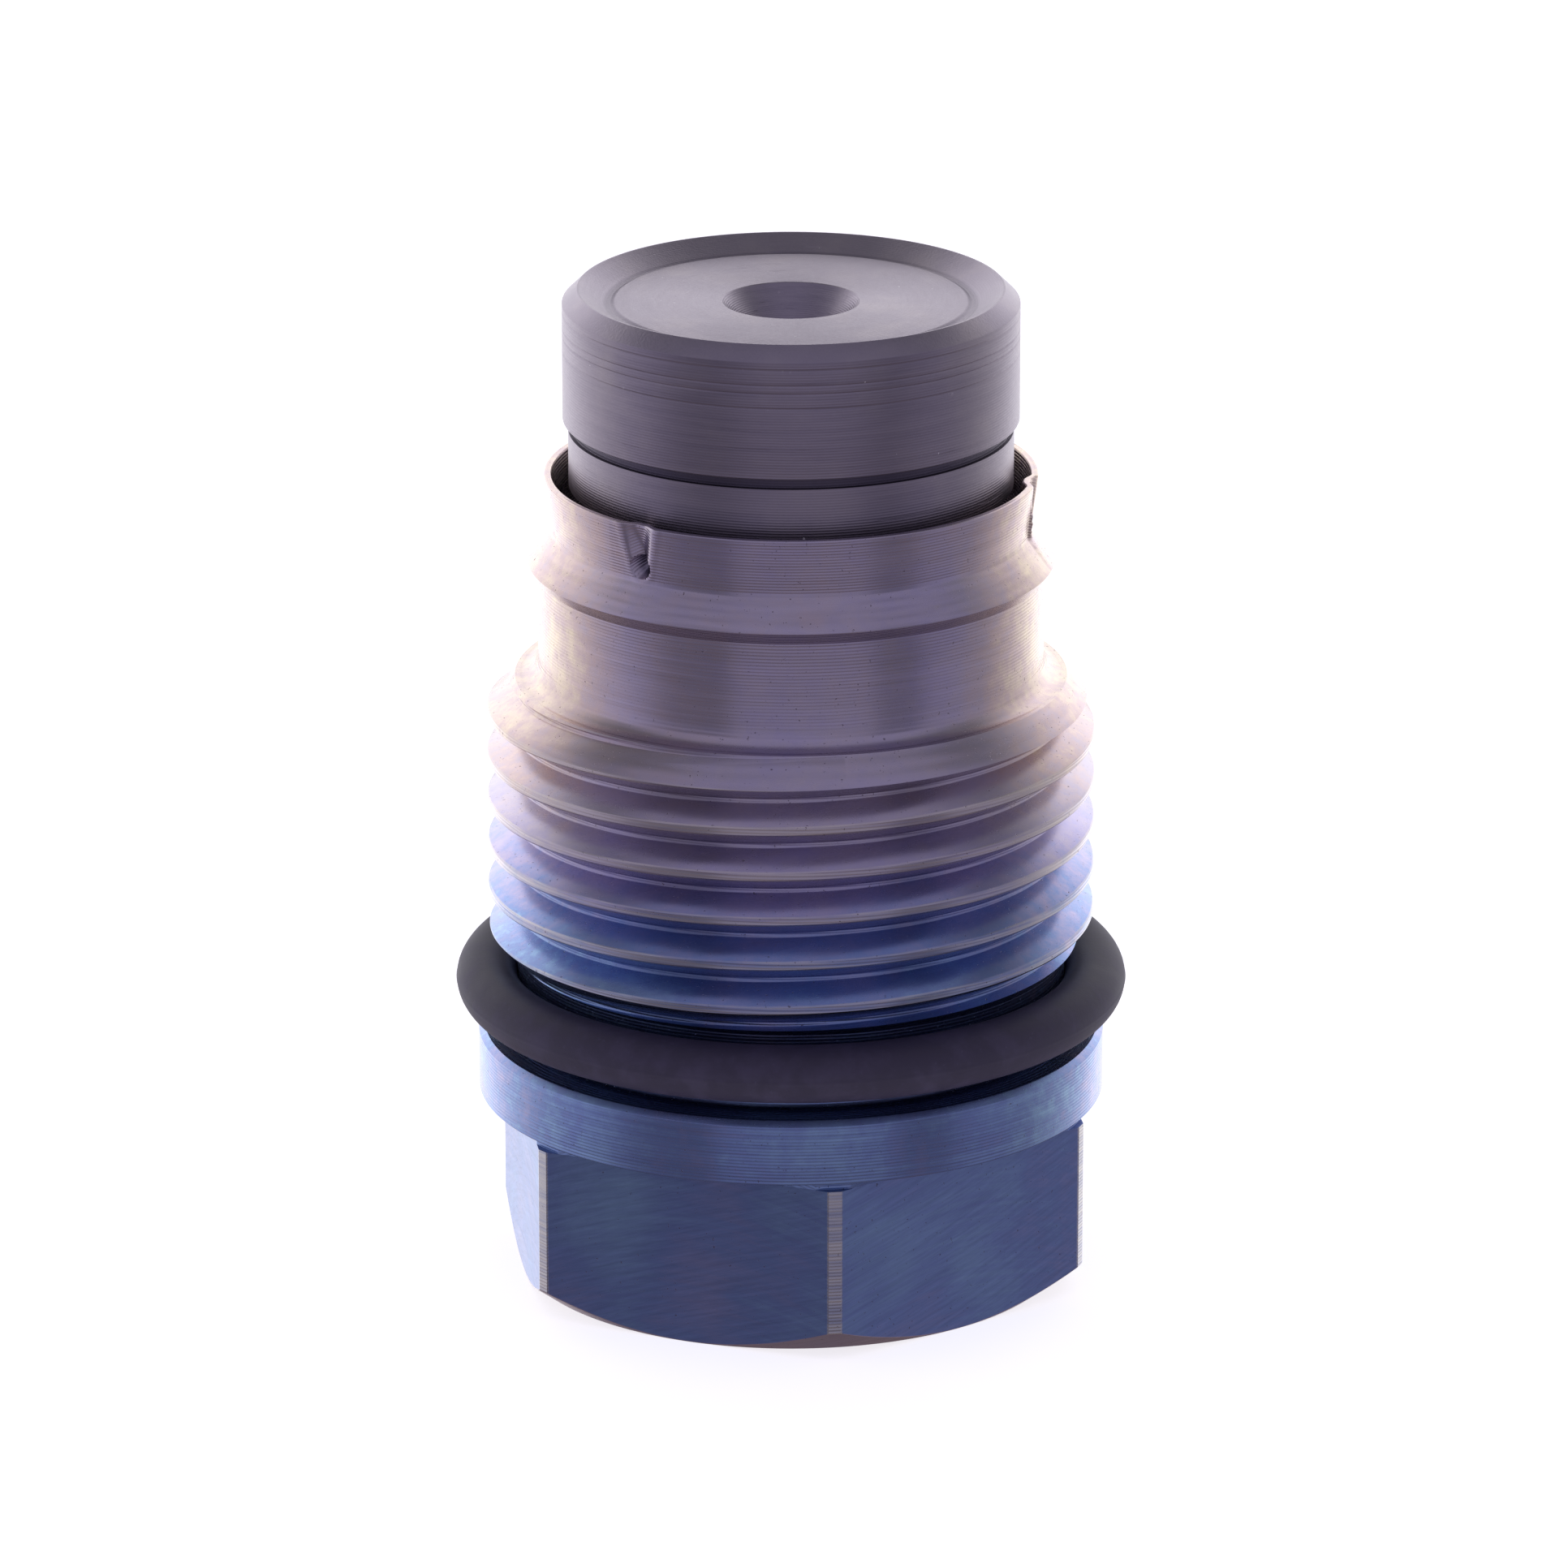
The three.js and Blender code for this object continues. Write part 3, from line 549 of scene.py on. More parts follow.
def phosphated_steel(finishes, sizes):
    """Seat body steel: dark coating over turned metal, granular on its end face, with scuffs."""
    material = bpy.data.materials.new("coated_steel")
    shader = Shader(material)
    skin = turning(shader, 0.09, 0.002, 0.004)
    point, streaks = skin["point"], skin["streaks"]
    end_face = shader.step(skin["z"], SEAT_BOX[1].z / MM - 0.6, SEAT_BOX[1].z / MM - 0.4)
    grain = shader.noise(point, 11.0, detail=3.0, roughness=0.7)
    cloud = shader.noise(point, 0.5, detail=3.0)
    texture = streaks * (1.0 - end_face * 0.8) + (grain * 0.5 + cloud * 0.5) * end_face * 0.8
    tone = shader.blend(finishes.phosphate_dark, finishes.phosphate, shader.step(texture, 0.3, 0.66))
    tone = shader.blend(tone, finishes.phosphate_worn, shader.step(cloud, 0.45, 0.75) * 0.4)
    scuffs = shader.step(shader.noise(point, 3.3, detail=5.0, roughness=0.75), 0.66, 0.72)
    tone = shader.blend(tone, finishes.scuff, scuffs * 0.4)
    dust = shader.step(shader.noise(point, 4.0, detail=1.0), 0.8, 0.82)
    tone = shader.blend(tone, finishes.dust, dust * 0.8)
    # Painted shade: the undercut line and the groove at the foot of the recess are darkened with the shade
    # colour, where shade falls.
    step_height = (SEAT_BOX[1].z - sizes.step_drop) / MM
    undercut = shader.step(skin["z"], step_height - 0.02, step_height)
    ceiling = step_height + sizes.undercut / MM
    undercut = undercut * (1.0 - shader.step(skin["z"], ceiling - 0.06, ceiling + 0.04))
    foot = sizes.recess_radius / MM
    recess = end_face * shader.step(skin["radius"], foot - 0.3, foot - 0.2)
    recess = recess * (1.0 - shader.step(skin["radius"], foot, foot + 0.12))
    tone = shader.blend(tone, finishes.grime, undercut * 0.8 + recess * 0.55)
    grooves = shader.step(streaks, 0.3, 0.36)
    roughness = 0.36 + (grain - 0.5) * 0.2 + streaks * 0.1 + dust * 0.3
    relief = skin["height"] * (1.0 - end_face * 0.7) + grain * (end_face * 0.006 + 0.002) + grooves * 0.004
    shader.finish(metal_surface(shader, tone, roughness, shader.bump(relief), 0.35))
    return material


def made_material(name, maker, *values):
    """The named material, made the first time that it is asked for."""
    return bpy.data.materials.get(name) or maker(*values)


def plain_steel(name, tone_dark, tone_light, feed_pitch, roughness):
    """Steel of an inner piece: fine turning or grinding marks and an oil film's variation."""
    material = bpy.data.materials.new(name)
    shader = Shader(material)
    skin = turning(shader, feed_pitch, 0.0008, 0.002)
    tone = shader.blend(tone_dark, tone_light, shader.step(skin["streaks"], 0.35, 0.65))
    film = shader.noise(skin["point"], 0.8, detail=2.0)
    finish = film * 0.16 + (roughness - 0.08)
    shader.finish(metal_surface(shader, tone, finish, shader.bump(skin["height"]), 0.3))
    return material


def inner_steel(name, tone, darkening, feed_pitch, roughness):
    """The named steel of inner pieces, made the first time that it is asked for."""
    dark = tuple(darkening * channel for channel in tone)
    return made_material(name, plain_steel, name, dark, tone, feed_pitch, roughness)


def lapped_steel(finishes):
    return inner_steel("lapped_steel", finishes.hardened, 0.8, 0.07, 0.24)


def shim_steel(finishes):
    return inner_steel("shim_steel", finishes.ground, 0.8, 0.05, 0.3)


def oiled_steel(finishes):
    return inner_steel("oiled_steel", finishes.spring, 0.7, 0.3, 0.36)


def nitrile_rubber(finishes):
    """O-ring rubber: near black, a faint bloom and a fine moulded grain."""
    material = bpy.data.materials.new("moulded_rubber")
    shader = Shader(material)
    _, point = shader.coordinates()
    bloom = shader.noise(point, 0.9, detail=3.0, roughness=0.6)
    grain = shader.noise(point, 22.0, detail=2.0)
    dust = shader.step(shader.noise(point, 5.0, detail=3.0), 0.66, 0.72)
    lighter = tuple(channel * 1.6 for channel in finishes.rubber)
    tone = shader.blend(finishes.rubber, lighter, shader.step(bloom, 0.4, 0.7) * 0.6 + dust * 0.4)
    surface = shader.node(
        "ShaderNodeBsdfPrincipled",
        None,
        base_color=tone,
        roughness=bloom * 0.16 + 0.46 + grain * 0.08,
        specular_ior_level=0.34,
        normal=shader.bump(grain * 0.003 + bloom * 0.01),
    )
    shader.finish(surface)
    return material


# ---------- modelling by hand ----------


def edit_mode():
    bpy.ops.object.mode_set(mode="EDIT")


def object_mode():
    bpy.ops.object.mode_set(mode="OBJECT")


def new_vertex(name, place):
    """A new piece whose mesh is a single vertex, left in edit mode with the vertex selected."""
    bpy.ops.object.select_all(action="DESELECT")
    bpy.ops.mesh.primitive_plane_add(size=MM, location=(0.0, 0.0, 0.0))
    piece = bpy.context.object
    piece.name = name
    piece.data.name = name
    edit_mode()
    bpy.ops.mesh.merge(type="CENTER")
    bpy.ops.transform.translate(value=place)
    return piece


def pick(piece):
    """Makes a piece the only selected one, and the active one."""
    bpy.ops.object.select_all(action="DESELECT")
    bpy.context.view_layer.objects.active = piece
    piece.select_set(True)


def draw_outline(name, outline):
    """Draws an outline of (radius, height) points in the XZ plane by extruding one vertex along it."""
    piece = new_vertex(name, (outline[0][0], 0.0, outline[0][1]))
    for (r0, z0), (r1, z1) in zip(outline, outline[1:]):
        bpy.ops.mesh.extrude_region_move(TRANSFORM_OT_translate={"value": (r1 - r0, 0.0, z1 - z0)})
    bpy.ops.mesh.select_all(action="SELECT")
    return piece


def tidy_mesh():
    """Merges doubles and turns every face outwards. The piece is in edit mode."""
    bpy.ops.mesh.select_all(action="SELECT")
    bpy.ops.mesh.remove_doubles(threshold=MERGE_DISTANCE)
    bpy.ops.mesh.normals_make_consistent(inside=False)


def turn(name, outline, facets):
    """A turned piece: the outline is spun round Z. It starts and ends on the axis, or closes on itself."""
    piece = draw_outline(name, outline)
    bpy.ops.mesh.spin(steps=facets, angle=FULL_TURN, center=(0.0, 0.0, 0.0), axis=(0.0, 0.0, 1.0))
    tidy_mesh()
    object_mode()
    return piece


def rounded(corners, step_degrees=15.0):
    """An outline whose corners (radius, height, rounding) are replaced by arcs."""
    outline = []
    last = len(corners) - 1
    for i, corner in enumerate(corners):
        here = Vector(corner[:2])
        rounding = corner[2] if len(corner) > 2 else 0.0
        if rounding <= 0.0 or i in (0, last):
            outline.append(tuple(here))
            continue
        back = (Vector(corners[i - 1][:2]) - here).normalized()
        ahead = (Vector(corners[i + 1][:2]) - here).normalized()
        opening = back.angle(ahead)
        reach = rounding / math.tan(opening / 2)
        start = here + back * reach
        end = here + ahead * reach
        centre = here + (back + ahead).normalized() * (rounding / math.sin(opening / 2))
        sweep = math.pi - opening
        pieces = max(2, round(math.degrees(sweep) / step_degrees))
        first = (start - centre).normalized()
        final = (end - centre).normalized()
        for k in range(pieces + 1):
            share = k / pieces
            outline.append(tuple(centre + first.slerp(final, share) * rounding))
    return outline


def cut(piece, tool):
    """Cuts a tool body from a piece, then removes the tool."""
    pick(piece)
    modifier = piece.modifiers.new("cut", "BOOLEAN")
    modifier.operation = "DIFFERENCE"
    modifier.solver = "EXACT"
    modifier.object = tool
    bpy.ops.object.modifier_apply(modifier=modifier.name)
    bpy.data.objects.remove(tool, do_unlink=True)


def smooth(piece, degrees=28.0):
    """Smooth shading that keeps machined edges crisp."""
    pick(piece)
    bpy.ops.object.shade_smooth_by_angle(angle=math.radians(degrees))


def select_where(piece, chosen, domain="vertices"):
    """Selects the vertices or faces of the edited piece that a test chooses by their place."""
    bpy.ops.mesh.select_all(action="DESELECT")
    object_mode()
    if domain == "vertices":
        for vertex in piece.data.vertices:
            vertex.select = chosen(vertex.co)
    else:
        for face in piece.data.polygons:
            face.select = chosen(face.center)
    edit_mode()


def box_tool(distance, direction, height, sides):
    """A box that mills a slot or a flat, its middle at a distance from the axis in a direction."""
    bpy.ops.object.select_all(action="DESELECT")
    bpy.ops.mesh.primitive_cube_add(
        size=1.0,
        location=(distance * math.cos(direction), distance * math.sin(direction), height),
        rotation=(0.0, 0.0, direction),
    )
    tool = bpy.context.object
    tool.scale = sides
    bpy.ops.object.transform_apply(location=True, rotation=True, scale=True)
    return tool


def settle(piece, node, body, material):
    """Gives a finished piece its place in the frame: body, replaced node and material."""
    piece.data.materials.clear()
    piece.data.materials.append(material)
    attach(piece, body)
    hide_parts(node)


# ---------- housing ----------


def bulge_height(s):
    """Height of the sharp edge between neck and collar."""
    return (
        s.hexagon_height + s.relief_width + s.flange_thickness + s.shank_length
        + s.thread_length + s.neck_length + s.bulge_radius - s.neck_radius
    )


def rim_height(s):
    """Height of the collar's rim."""
    return bulge_height(s) + s.collar_height


def housing_outline(s):
    """Half section of the turned blank, from the lower face's centre to the chamber floor's centre."""
    edge = s.edge_break
    flange_bottom = s.hexagon_height + s.relief_width
    flange_top = flange_bottom + s.flange_thickness
    thread_bottom = flange_top + s.shank_length
    thread_top = thread_bottom + s.thread_length
    bulge = bulge_height(s)
    waist = bulge + s.waist_rise
    rim = rim_height(s)
    shoulder = bulge - s.shoulder_drop
    root = s.major_radius - s.thread_depth
    return rounded([
        (0.0, 0.0),
        (s.bottom_radius, 0.0, 2 * edge),
        (s.corner_radius, s.bottom_chamfer, edge),
        (s.corner_radius, s.hexagon_height, edge / 2),
        (s.relief_radius, s.hexagon_height, edge / 2),
        (s.relief_radius, flange_bottom, edge / 2),
        (s.flange_radius, flange_bottom, edge),
        (s.flange_radius, flange_top - s.flange_chamfer, edge),
        (s.flange_radius - s.flange_chamfer, flange_top, edge),
        (s.shank_radius, flange_top, s.shank_fillet),
        (s.shank_radius, thread_bottom, 3 * edge),
        (s.major_radius, thread_bottom + s.major_radius - s.shank_radius, edge),
        (s.major_radius, thread_top - s.thread_depth, edge),
        (root, thread_top, edge),
        (s.neck_radius, thread_top, s.neck_fillet),
        (s.neck_radius, thread_top + s.neck_length - s.neck_flare, s.neck_flare),
        (s.bulge_radius, bulge, edge),
        (s.waist_radius, waist, 6 * edge),
        (s.rim_radius, rim, 2 * edge),
        (s.rim_radius - s.lip_thickness, rim, 2 * edge),
        (s.collar_bore, waist, 6 * edge),
        (s.collar_bore, shoulder, 2 * edge),
        (s.chamber_radius, shoulder, 2 * edge),
        (s.chamber_radius, s.chamber_floor, 6 * edge),
        (0.0, s.chamber_floor),
    ])


def hexagon_tool(s):
    """A hexagonal ring that mills the six flats, up to the flange's lower face."""
    flange_bottom = s.hexagon_height + s.relief_width
    corner = s.across_flats / 2 / math.cos(math.pi / 6)
    below = 2 * MM
    bpy.ops.object.select_all(action="DESELECT")
    bpy.ops.mesh.primitive_circle_add(
        vertices=6, radius=corner, fill_type="NOTHING", location=(0.0, 0.0, -below)
    )
    tool = bpy.context.object
    first = Vector((*tool.data.vertices[0].co[:2], 0.0))
    tool.rotation_euler.z = s.corner_angle - math.atan2(first.y, first.x)
    bpy.ops.object.transform_apply(location=True, rotation=True, scale=True)
    edit_mode()
    bpy.ops.mesh.select_all(action="SELECT")
    bpy.ops.mesh.extrude_edges_move()
    bpy.ops.transform.resize(value=(2.0, 2.0, 1.0), center_override=(0.0, 0.0, 0.0))
    bpy.ops.mesh.select_all(action="SELECT")
    bpy.ops.mesh.extrude_region_move(
        TRANSFORM_OT_translate={"value": (0.0, 0.0, flange_bottom + below)}
    )
    tidy_mesh()
    object_mode()
    return tool


def thread_tool(s):
    """The helical groove between the thread's ridges, open towards the outside, with a round root."""
    half_crest = (s.pitch - s.crest_width) / 2
    flank = THREAD_FLANK
    outside = THREAD_OVERCUT
    wear = s.crest_wear
    floor = s.major_radius - s.thread_depth
    half_root = half_crest - s.thread_depth * flank
    root = s.root_rounding * ROOT_CORNER_SHARE
    section = rounded([
        (s.major_radius + outside, -half_crest - wear - outside * flank / 2),
        (s.major_radius, -half_crest - wear),
        (s.major_radius - wear, -half_crest + wear * flank),
        (floor, -half_root, root),
        (floor, half_root, root),
        (s.major_radius - wear, half_crest - wear * flank),
        (s.major_radius, half_crest + wear),
        (s.major_radius + outside, half_crest + wear + outside * flank / 2),
    ], step_degrees=20.0)
    flange_top = s.hexagon_height + s.relief_width + s.flange_thickness
    front_crest = flange_top + s.shank_length + s.lead_offset
    start = front_crest + s.pitch / 4 + s.pitch / 2 - 2 * s.pitch
    ring = [(r, z + start) for r, z in section]
    tool = draw_outline("thread_tool", ring + ring[:1])
    tidy_mesh()
    object_mode()
    screw = tool.modifiers.new("helix", "SCREW")
    screw.axis = "Z"
    screw.angle = FULL_TURN
    screw.screw_offset = s.pitch
    screw.iterations = math.ceil(s.thread_length / s.pitch) + 1
    screw.steps = s.facets
    screw.render_steps = s.facets
    screw.use_merge_vertices = False
    bpy.ops.object.modifier_apply(modifier=screw.name)
    edit_mode()
    bpy.ops.mesh.select_all(action="SELECT")
    bpy.ops.mesh.remove_doubles(threshold=MERGE_DISTANCE)
    bpy.ops.mesh.select_all(action="DESELECT")
    bpy.ops.mesh.select_mode(type="EDGE")
    bpy.ops.mesh.select_non_manifold()
    bpy.ops.mesh.fill_holes(sides=0)
    bpy.ops.mesh.select_mode(type="VERT")
    tidy_mesh()
    object_mode()
    return tool


def angle_between(place, direction):
    """Angle round the axis from a direction to a place, between -pi and pi."""
    turn_from = math.atan2(place.y, place.x) - direction
    return (turn_from + math.pi) % FULL_TURN - math.pi


def mark_depth(marks, aside, below, flap):
    """How far the wall is pushed in at one point of a mark, aside from its middle and below the rim."""
    def soft(value, low, high):
        share = min(max((value - low) / (high - low), 0.0), 1.0)
        return share * share * (3.0 - 2.0 * share)

    down = min(max(below / marks.below_rim, 0.0), 1.0)
    half = marks.mouth_width + (marks.pit_radius - marks.mouth_width) * down
    past = max(below - marks.below_rim, 0.0)
    reach = math.hypot(aside, past)
    inside = 1.0 - soft(reach, half - marks.flank, half)
    depth = inside * (marks.mouth_push + (marks.foot_push - marks.mouth_push) * down)
    pit = math.hypot(aside, below - marks.below_rim) / marks.pit_radius
    if pit < 1.0:
        depth += marks.pit_push * math.sqrt(1.0 - pit * pit)
        depth -= marks.pit_dimple * (1.0 - soft(pit, 0.0, PIT_DIMPLE_REACH))
    beside = soft(reach, half, half + marks.burr_width / 3)
    beside *= 1.0 - soft(reach, half, half + marks.burr_width)
    depth -= beside * marks.burr_height
    if flap and aside < 0.0:
        depth -= beside * marks.flap_push * soft(below, FLAP_START * marks.below_rim, marks.below_rim)
    return depth


def stake(piece, s, marks, direction, flap):
    """Divides the collar wall finely at one mark, then punches the mark in."""
    rim = rim_height(s)
    window = (marks.mouth_width + 1.5 * marks.burr_width) / s.rim_radius
    low = rim - marks.below_rim - marks.pit_radius - marks.burr_width
    inner = s.collar_bore - 0.1 * MM

    def in_window(place):
        return (
            abs(angle_between(place, direction)) < window
            and low < place.z < rim + MM
            and inner < place.xy.length < s.bulge_radius
        )

    edit_mode()
    for k in range(1, int((rim - low) / marks.grid)):
        select_where(piece, in_window, "faces")
        bpy.ops.mesh.bisect(plane_co=(0.0, 0.0, low + k * marks.grid), plane_no=(0.0, 0.0, 1.0))
    select_where(piece, in_window, "faces")
    bpy.ops.mesh.subdivide(number_cuts=2)
    object_mode()
    for vertex in piece.data.vertices:
        place = vertex.co
        turned_by = angle_between(place, direction)
        if abs(turned_by) < window and place.z > low and inner < place.xy.length < s.bulge_radius:
            push = mark_depth(marks, turned_by * s.rim_radius, rim - place.z, flap)
            scale = 1.0 - push / place.xy.length
            vertex.co = (place.x * scale, place.y * scale, place.z)


def build_housing(s, marks):
    """Turns the blank, mills the hexagon, cuts the thread and punches the stakes."""
    piece = turn("housing_shell", housing_outline(s), s.facets)
    cut(piece, hexagon_tool(s))
    cut(piece, thread_tool(s))
    for k in range(marks.count):
        stake(piece, s, marks, marks.first_angle + k * FULL_TURN / marks.count, flap=k == 1)
    edit_mode()
    tidy_mesh()
    object_mode()
    smooth(piece)
    return piece


# ---------- valve seat body ----------


def turned_grooves(s, top, edge):
    """Outline points of the uneven shallow grooves under the ring edge's chamfer, upwards."""
    points = []
    for k in range(s.turned_grooves):
        height = top - (s.turned_grooves - k - 0.3 * (k % 2)) * TURNED_SPACING
        points += [
            (s.radius, height - 2 * s.turned_groove, edge / 4),
            (s.radius - s.turned_groove, height, edge / 4),
            (s.radius, height + 3 * s.turned_groove, edge / 4),
        ]
    return points


def build_seat_body(s, housing):
    """Turns the seat body and mills its return flow slots."""
    top = SEAT_BOX[1].z
    foot = SEAT_BOX[0].z
    edge = housing.edge_break
    step = top - s.step_drop
    floor = top - s.recess_depth
    inlet_end = floor - s.countersink_depth - s.inlet_length
    cone_end = inlet_end - (s.outlet_radius - s.inlet_radius) / SEAT_SLOPE
    outlet_end = cone_end - s.outlet_length
    collar_bottom = foot + s.spigot_length
    collar_top = collar_bottom + s.collar_height
    groove = s.lower_radius - s.groove_depth
    groove_top = collar_top + s.groove_height
    outline = rounded([
        (s.guide_radius, foot),
        (s.spigot_radius, foot, 4 * edge),
        (s.spigot_radius, collar_bottom, edge),
        (s.collar_radius, collar_bottom, 3 * edge),
        (s.collar_radius, collar_top, 2 * edge),
        (groove, collar_top, edge),
        (groove, groove_top, edge),
        (s.lower_radius, groove_top + s.groove_depth, edge),
        (s.lower_radius, step, edge / 2),
        (s.lower_radius - s.undercut_depth, step, edge / 2),
        (s.lower_radius - s.undercut_depth, step + s.undercut, edge / 2),
        (s.radius, step + s.undercut + s.undercut_depth / 2, edge),
        *turned_grooves(s, top - s.edge_chamfer, edge),
        (s.radius, top - s.edge_chamfer, edge),
        (s.edge_radius + s.edge_land / 2, top, edge / 4),
        (s.edge_radius - s.edge_land / 2, top, edge / 4),
        (s.recess_radius, floor - s.recess_groove, edge),
        (s.recess_radius - 2 * s.recess_groove, floor - s.recess_groove, edge),
        (s.recess_radius - 4 * s.recess_groove, floor, edge),
        (s.countersink_radius, floor, 2 * edge),
        (s.inlet_radius, floor - s.countersink_depth, 3 * edge),
        (s.inlet_radius, inlet_end, edge),
        (s.outlet_radius, cone_end, 3 * edge),
        (s.outlet_radius, outlet_end, 3 * edge),
        (s.guide_radius, outlet_end - (s.outlet_radius - s.guide_radius), edge),
        (s.guide_radius, foot),
    ])
    piece = turn("seat_body_shell", outline, housing.facets)
    reach = s.collar_radius + MM - groove
    middle = (collar_bottom + collar_top) / 2
    for k in range(s.slots):
        direction = (k + 0.5) * FULL_TURN / s.slots
        sides = (reach, s.slot_width, s.collar_height + 0.8 * MM)
        tool = box_tool(groove + reach / 2, direction, middle, sides)
        edit_mode()
        bpy.ops.mesh.select_all(action="SELECT")
        bpy.ops.mesh.bevel(offset=SLOT_ROUNDING, segments=4)
        tidy_mesh()
        object_mode()
        cut(piece, tool)
    smooth(piece)
    return piece


# ---------- O-ring ----------


def build_ring(s, housing):
    """Moulds the ring and raises its mould line, outside and inside."""
    low, high = RING_BOX
    width = high.x - housing.shank_radius - s.shank_gap
    section = width / 2
    major = high.x - section
    middle = (high.z + low.z) / 2
    bpy.ops.object.select_all(action="DESELECT")
    bpy.ops.mesh.primitive_torus_add(
        major_segments=housing.facets,
        minor_segments=48,
        major_radius=major,
        minor_radius=section,
        location=(0.0, 0.0, middle),
    )
    piece = bpy.context.object
    piece.name = "o_ring_moulding"
    piece.data.name = piece.name
    piece.scale.z = (high.z - low.z) / width
    bpy.ops.object.transform_apply(location=True, rotation=True, scale=True)
    edit_mode()
    for side in (1.0, -1.0):
        equator = major + side * section

        def on_equator(place, radius=equator):
            return abs(place.z - middle) < 1e-6 and abs(place.xy.length - radius) < 1e-5

        select_where(piece, on_equator)
        bpy.ops.mesh.bevel(offset=s.flash_width, segments=2, affect="EDGES")
        select_where(piece, on_equator)
        grow = 1.0 + side * s.flash_height / equator
        bpy.ops.transform.resize(value=(grow, grow, 1.0), center_override=(0.0, 0.0, middle))
    tidy_mesh()
    object_mode()
    smooth(piece, 60.0)
    return piece


# ---------- pieces inside the housing ----------


def build_piston(s, seat, housing):
    """Turns the piston and mills its flow flats."""
    foot, tip = PISTON_BOX[0].z, PISTON_BOX[1].z
    edge = housing.edge_break
    cone_foot = tip - (s.piston_neck - s.piston_tip) / SEAT_SLOPE
    guide_top = cone_foot - seat.outlet_length
    body_foot = foot + s.stem_length
    piece = turn("valve_piston_body", rounded([
        (0.0, foot),
        (s.stem_radius, foot, 4 * edge),
        (s.stem_radius, body_foot, edge),
        (s.piston_radius, body_foot, 3 * edge),
        (s.piston_radius, guide_top, edge),
        (s.piston_neck, guide_top + s.piston_radius - s.piston_neck, edge),
        (s.piston_neck, cone_foot, edge),
        (s.piston_tip, tip, 2 * edge),
        (0.0, tip),
    ]), housing.facets)
    depth = s.piston_radius + MM - s.flat_distance
    height = guide_top - body_foot + MM
    for k in range(s.flats):
        direction = k * FULL_TURN / s.flats
        sides = (depth, 4 * s.piston_radius, height)
        cut(piece, box_tool(s.flat_distance + depth / 2, direction, body_foot + height / 2, sides))
    smooth(piece)
    return piece


def build_plate(s, housing):
    """Turns the upper spring plate with its boss and the socket for the piston's stem."""
    low, high = PLATE_BOX
    edge = housing.edge_break
    disc = high.z - s.plate_thickness
    socket = s.stem_radius + STEM_FIT
    floor = PISTON_BOX[0].z - STEM_FIT
    piece = turn("spring_plate_disc", rounded([
        (0.0, low.z),
        (s.boss_radius, low.z, 5 * edge),
        (s.boss_radius, disc, 3 * edge),
        (high.x, disc, 2 * edge),
        (high.x, high.z, 5 * edge),
        (socket, high.z, 2 * edge),
        (socket, floor, edge),
        (0.0, floor),
    ]), housing.facets)
    smooth(piece)
    return piece


def build_stop(s, housing):
    """Turns the stroke stop: a foot that carries the spring and a pin that ends the piston's travel."""
    low, high = STOP_BOX
    edge = housing.edge_break
    piece = turn("stroke_stop_pin", rounded([
        (0.0, low.z),
        (high.x, low.z, 4 * edge),
        (high.x, low.z + s.stop_flange, 4 * edge),
        (s.stop_pin, low.z + s.stop_flange, 5 * edge),
        (s.stop_pin, high.z, 5 * edge),
        (0.0, high.z),
    ]), housing.facets)
    smooth(piece)
    return piece


def build_shim(node, housing):
    """Stamps one adjusting shim, with edges rounded by tumbling."""
    low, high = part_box(node)
    rounding = 0.25 * (high.z - low.z)
    piece = turn(node + "_disc", rounded([
        (0.0, low.z),
        (high.x, low.z, rounding),
        (high.x, high.z, rounding),
        (0.0, high.z),
    ]), housing.facets)
    smooth(piece)
    return piece


def build_spring(s):
    """Winds the spring with closed ends and grinds both ends flat."""
    low, high = SPRING_BOX
    mean = high.x - s.wire_radius
    first = low.z + s.wire_radius - s.end_grind
    last = high.z - s.wire_radius + s.end_grind
    closed = 2 * s.wire_radius
    pitch = (last - first - 2 * closed) / (s.spring_turns - 2)
    points = round(s.spring_turns * WIRE_POINTS_PER_TURN)
    curve = bpy.data.curves.new("compression_spring_wire", "CURVE")
    curve.dimensions = "3D"
    curve.bevel_depth = s.wire_radius
    curve.bevel_resolution = 6
    curve.use_fill_caps = True
    line = curve.splines.new("POLY")
    line.points.add(points)
    for k in range(points + 1):
        turns = s.spring_turns * k / points
        open_turns = min(max(turns - 1, 0.0), s.spring_turns - 2)
        height = (
            first + closed * min(turns, 1.0) + pitch * open_turns
            + closed * max(turns - s.spring_turns + 1, 0.0)
        )
        around = turns * FULL_TURN
        line.points[k].co = (mean * math.cos(around), mean * math.sin(around), height, 1.0)
    piece = bpy.data.objects.new("compression_spring_wire", curve)
    bpy.context.collection.objects.link(piece)
    pick(piece)
    bpy.ops.object.convert(target="MESH")
    piece = bpy.context.object
    edit_mode()
    tidy_mesh()
    for height, upper in ((low.z, False), (high.z, True)):
        bpy.ops.mesh.select_all(action="SELECT")
        bpy.ops.mesh.bisect(
            plane_co=(0.0, 0.0, height), plane_no=(0.0, 0.0, 1.0),
            use_fill=True, clear_outer=upper, clear_inner=not upper,
        )
    tidy_mesh()
    object_mode()
    smooth(piece, 35.0)
    return piece


# ---------- stage ----------


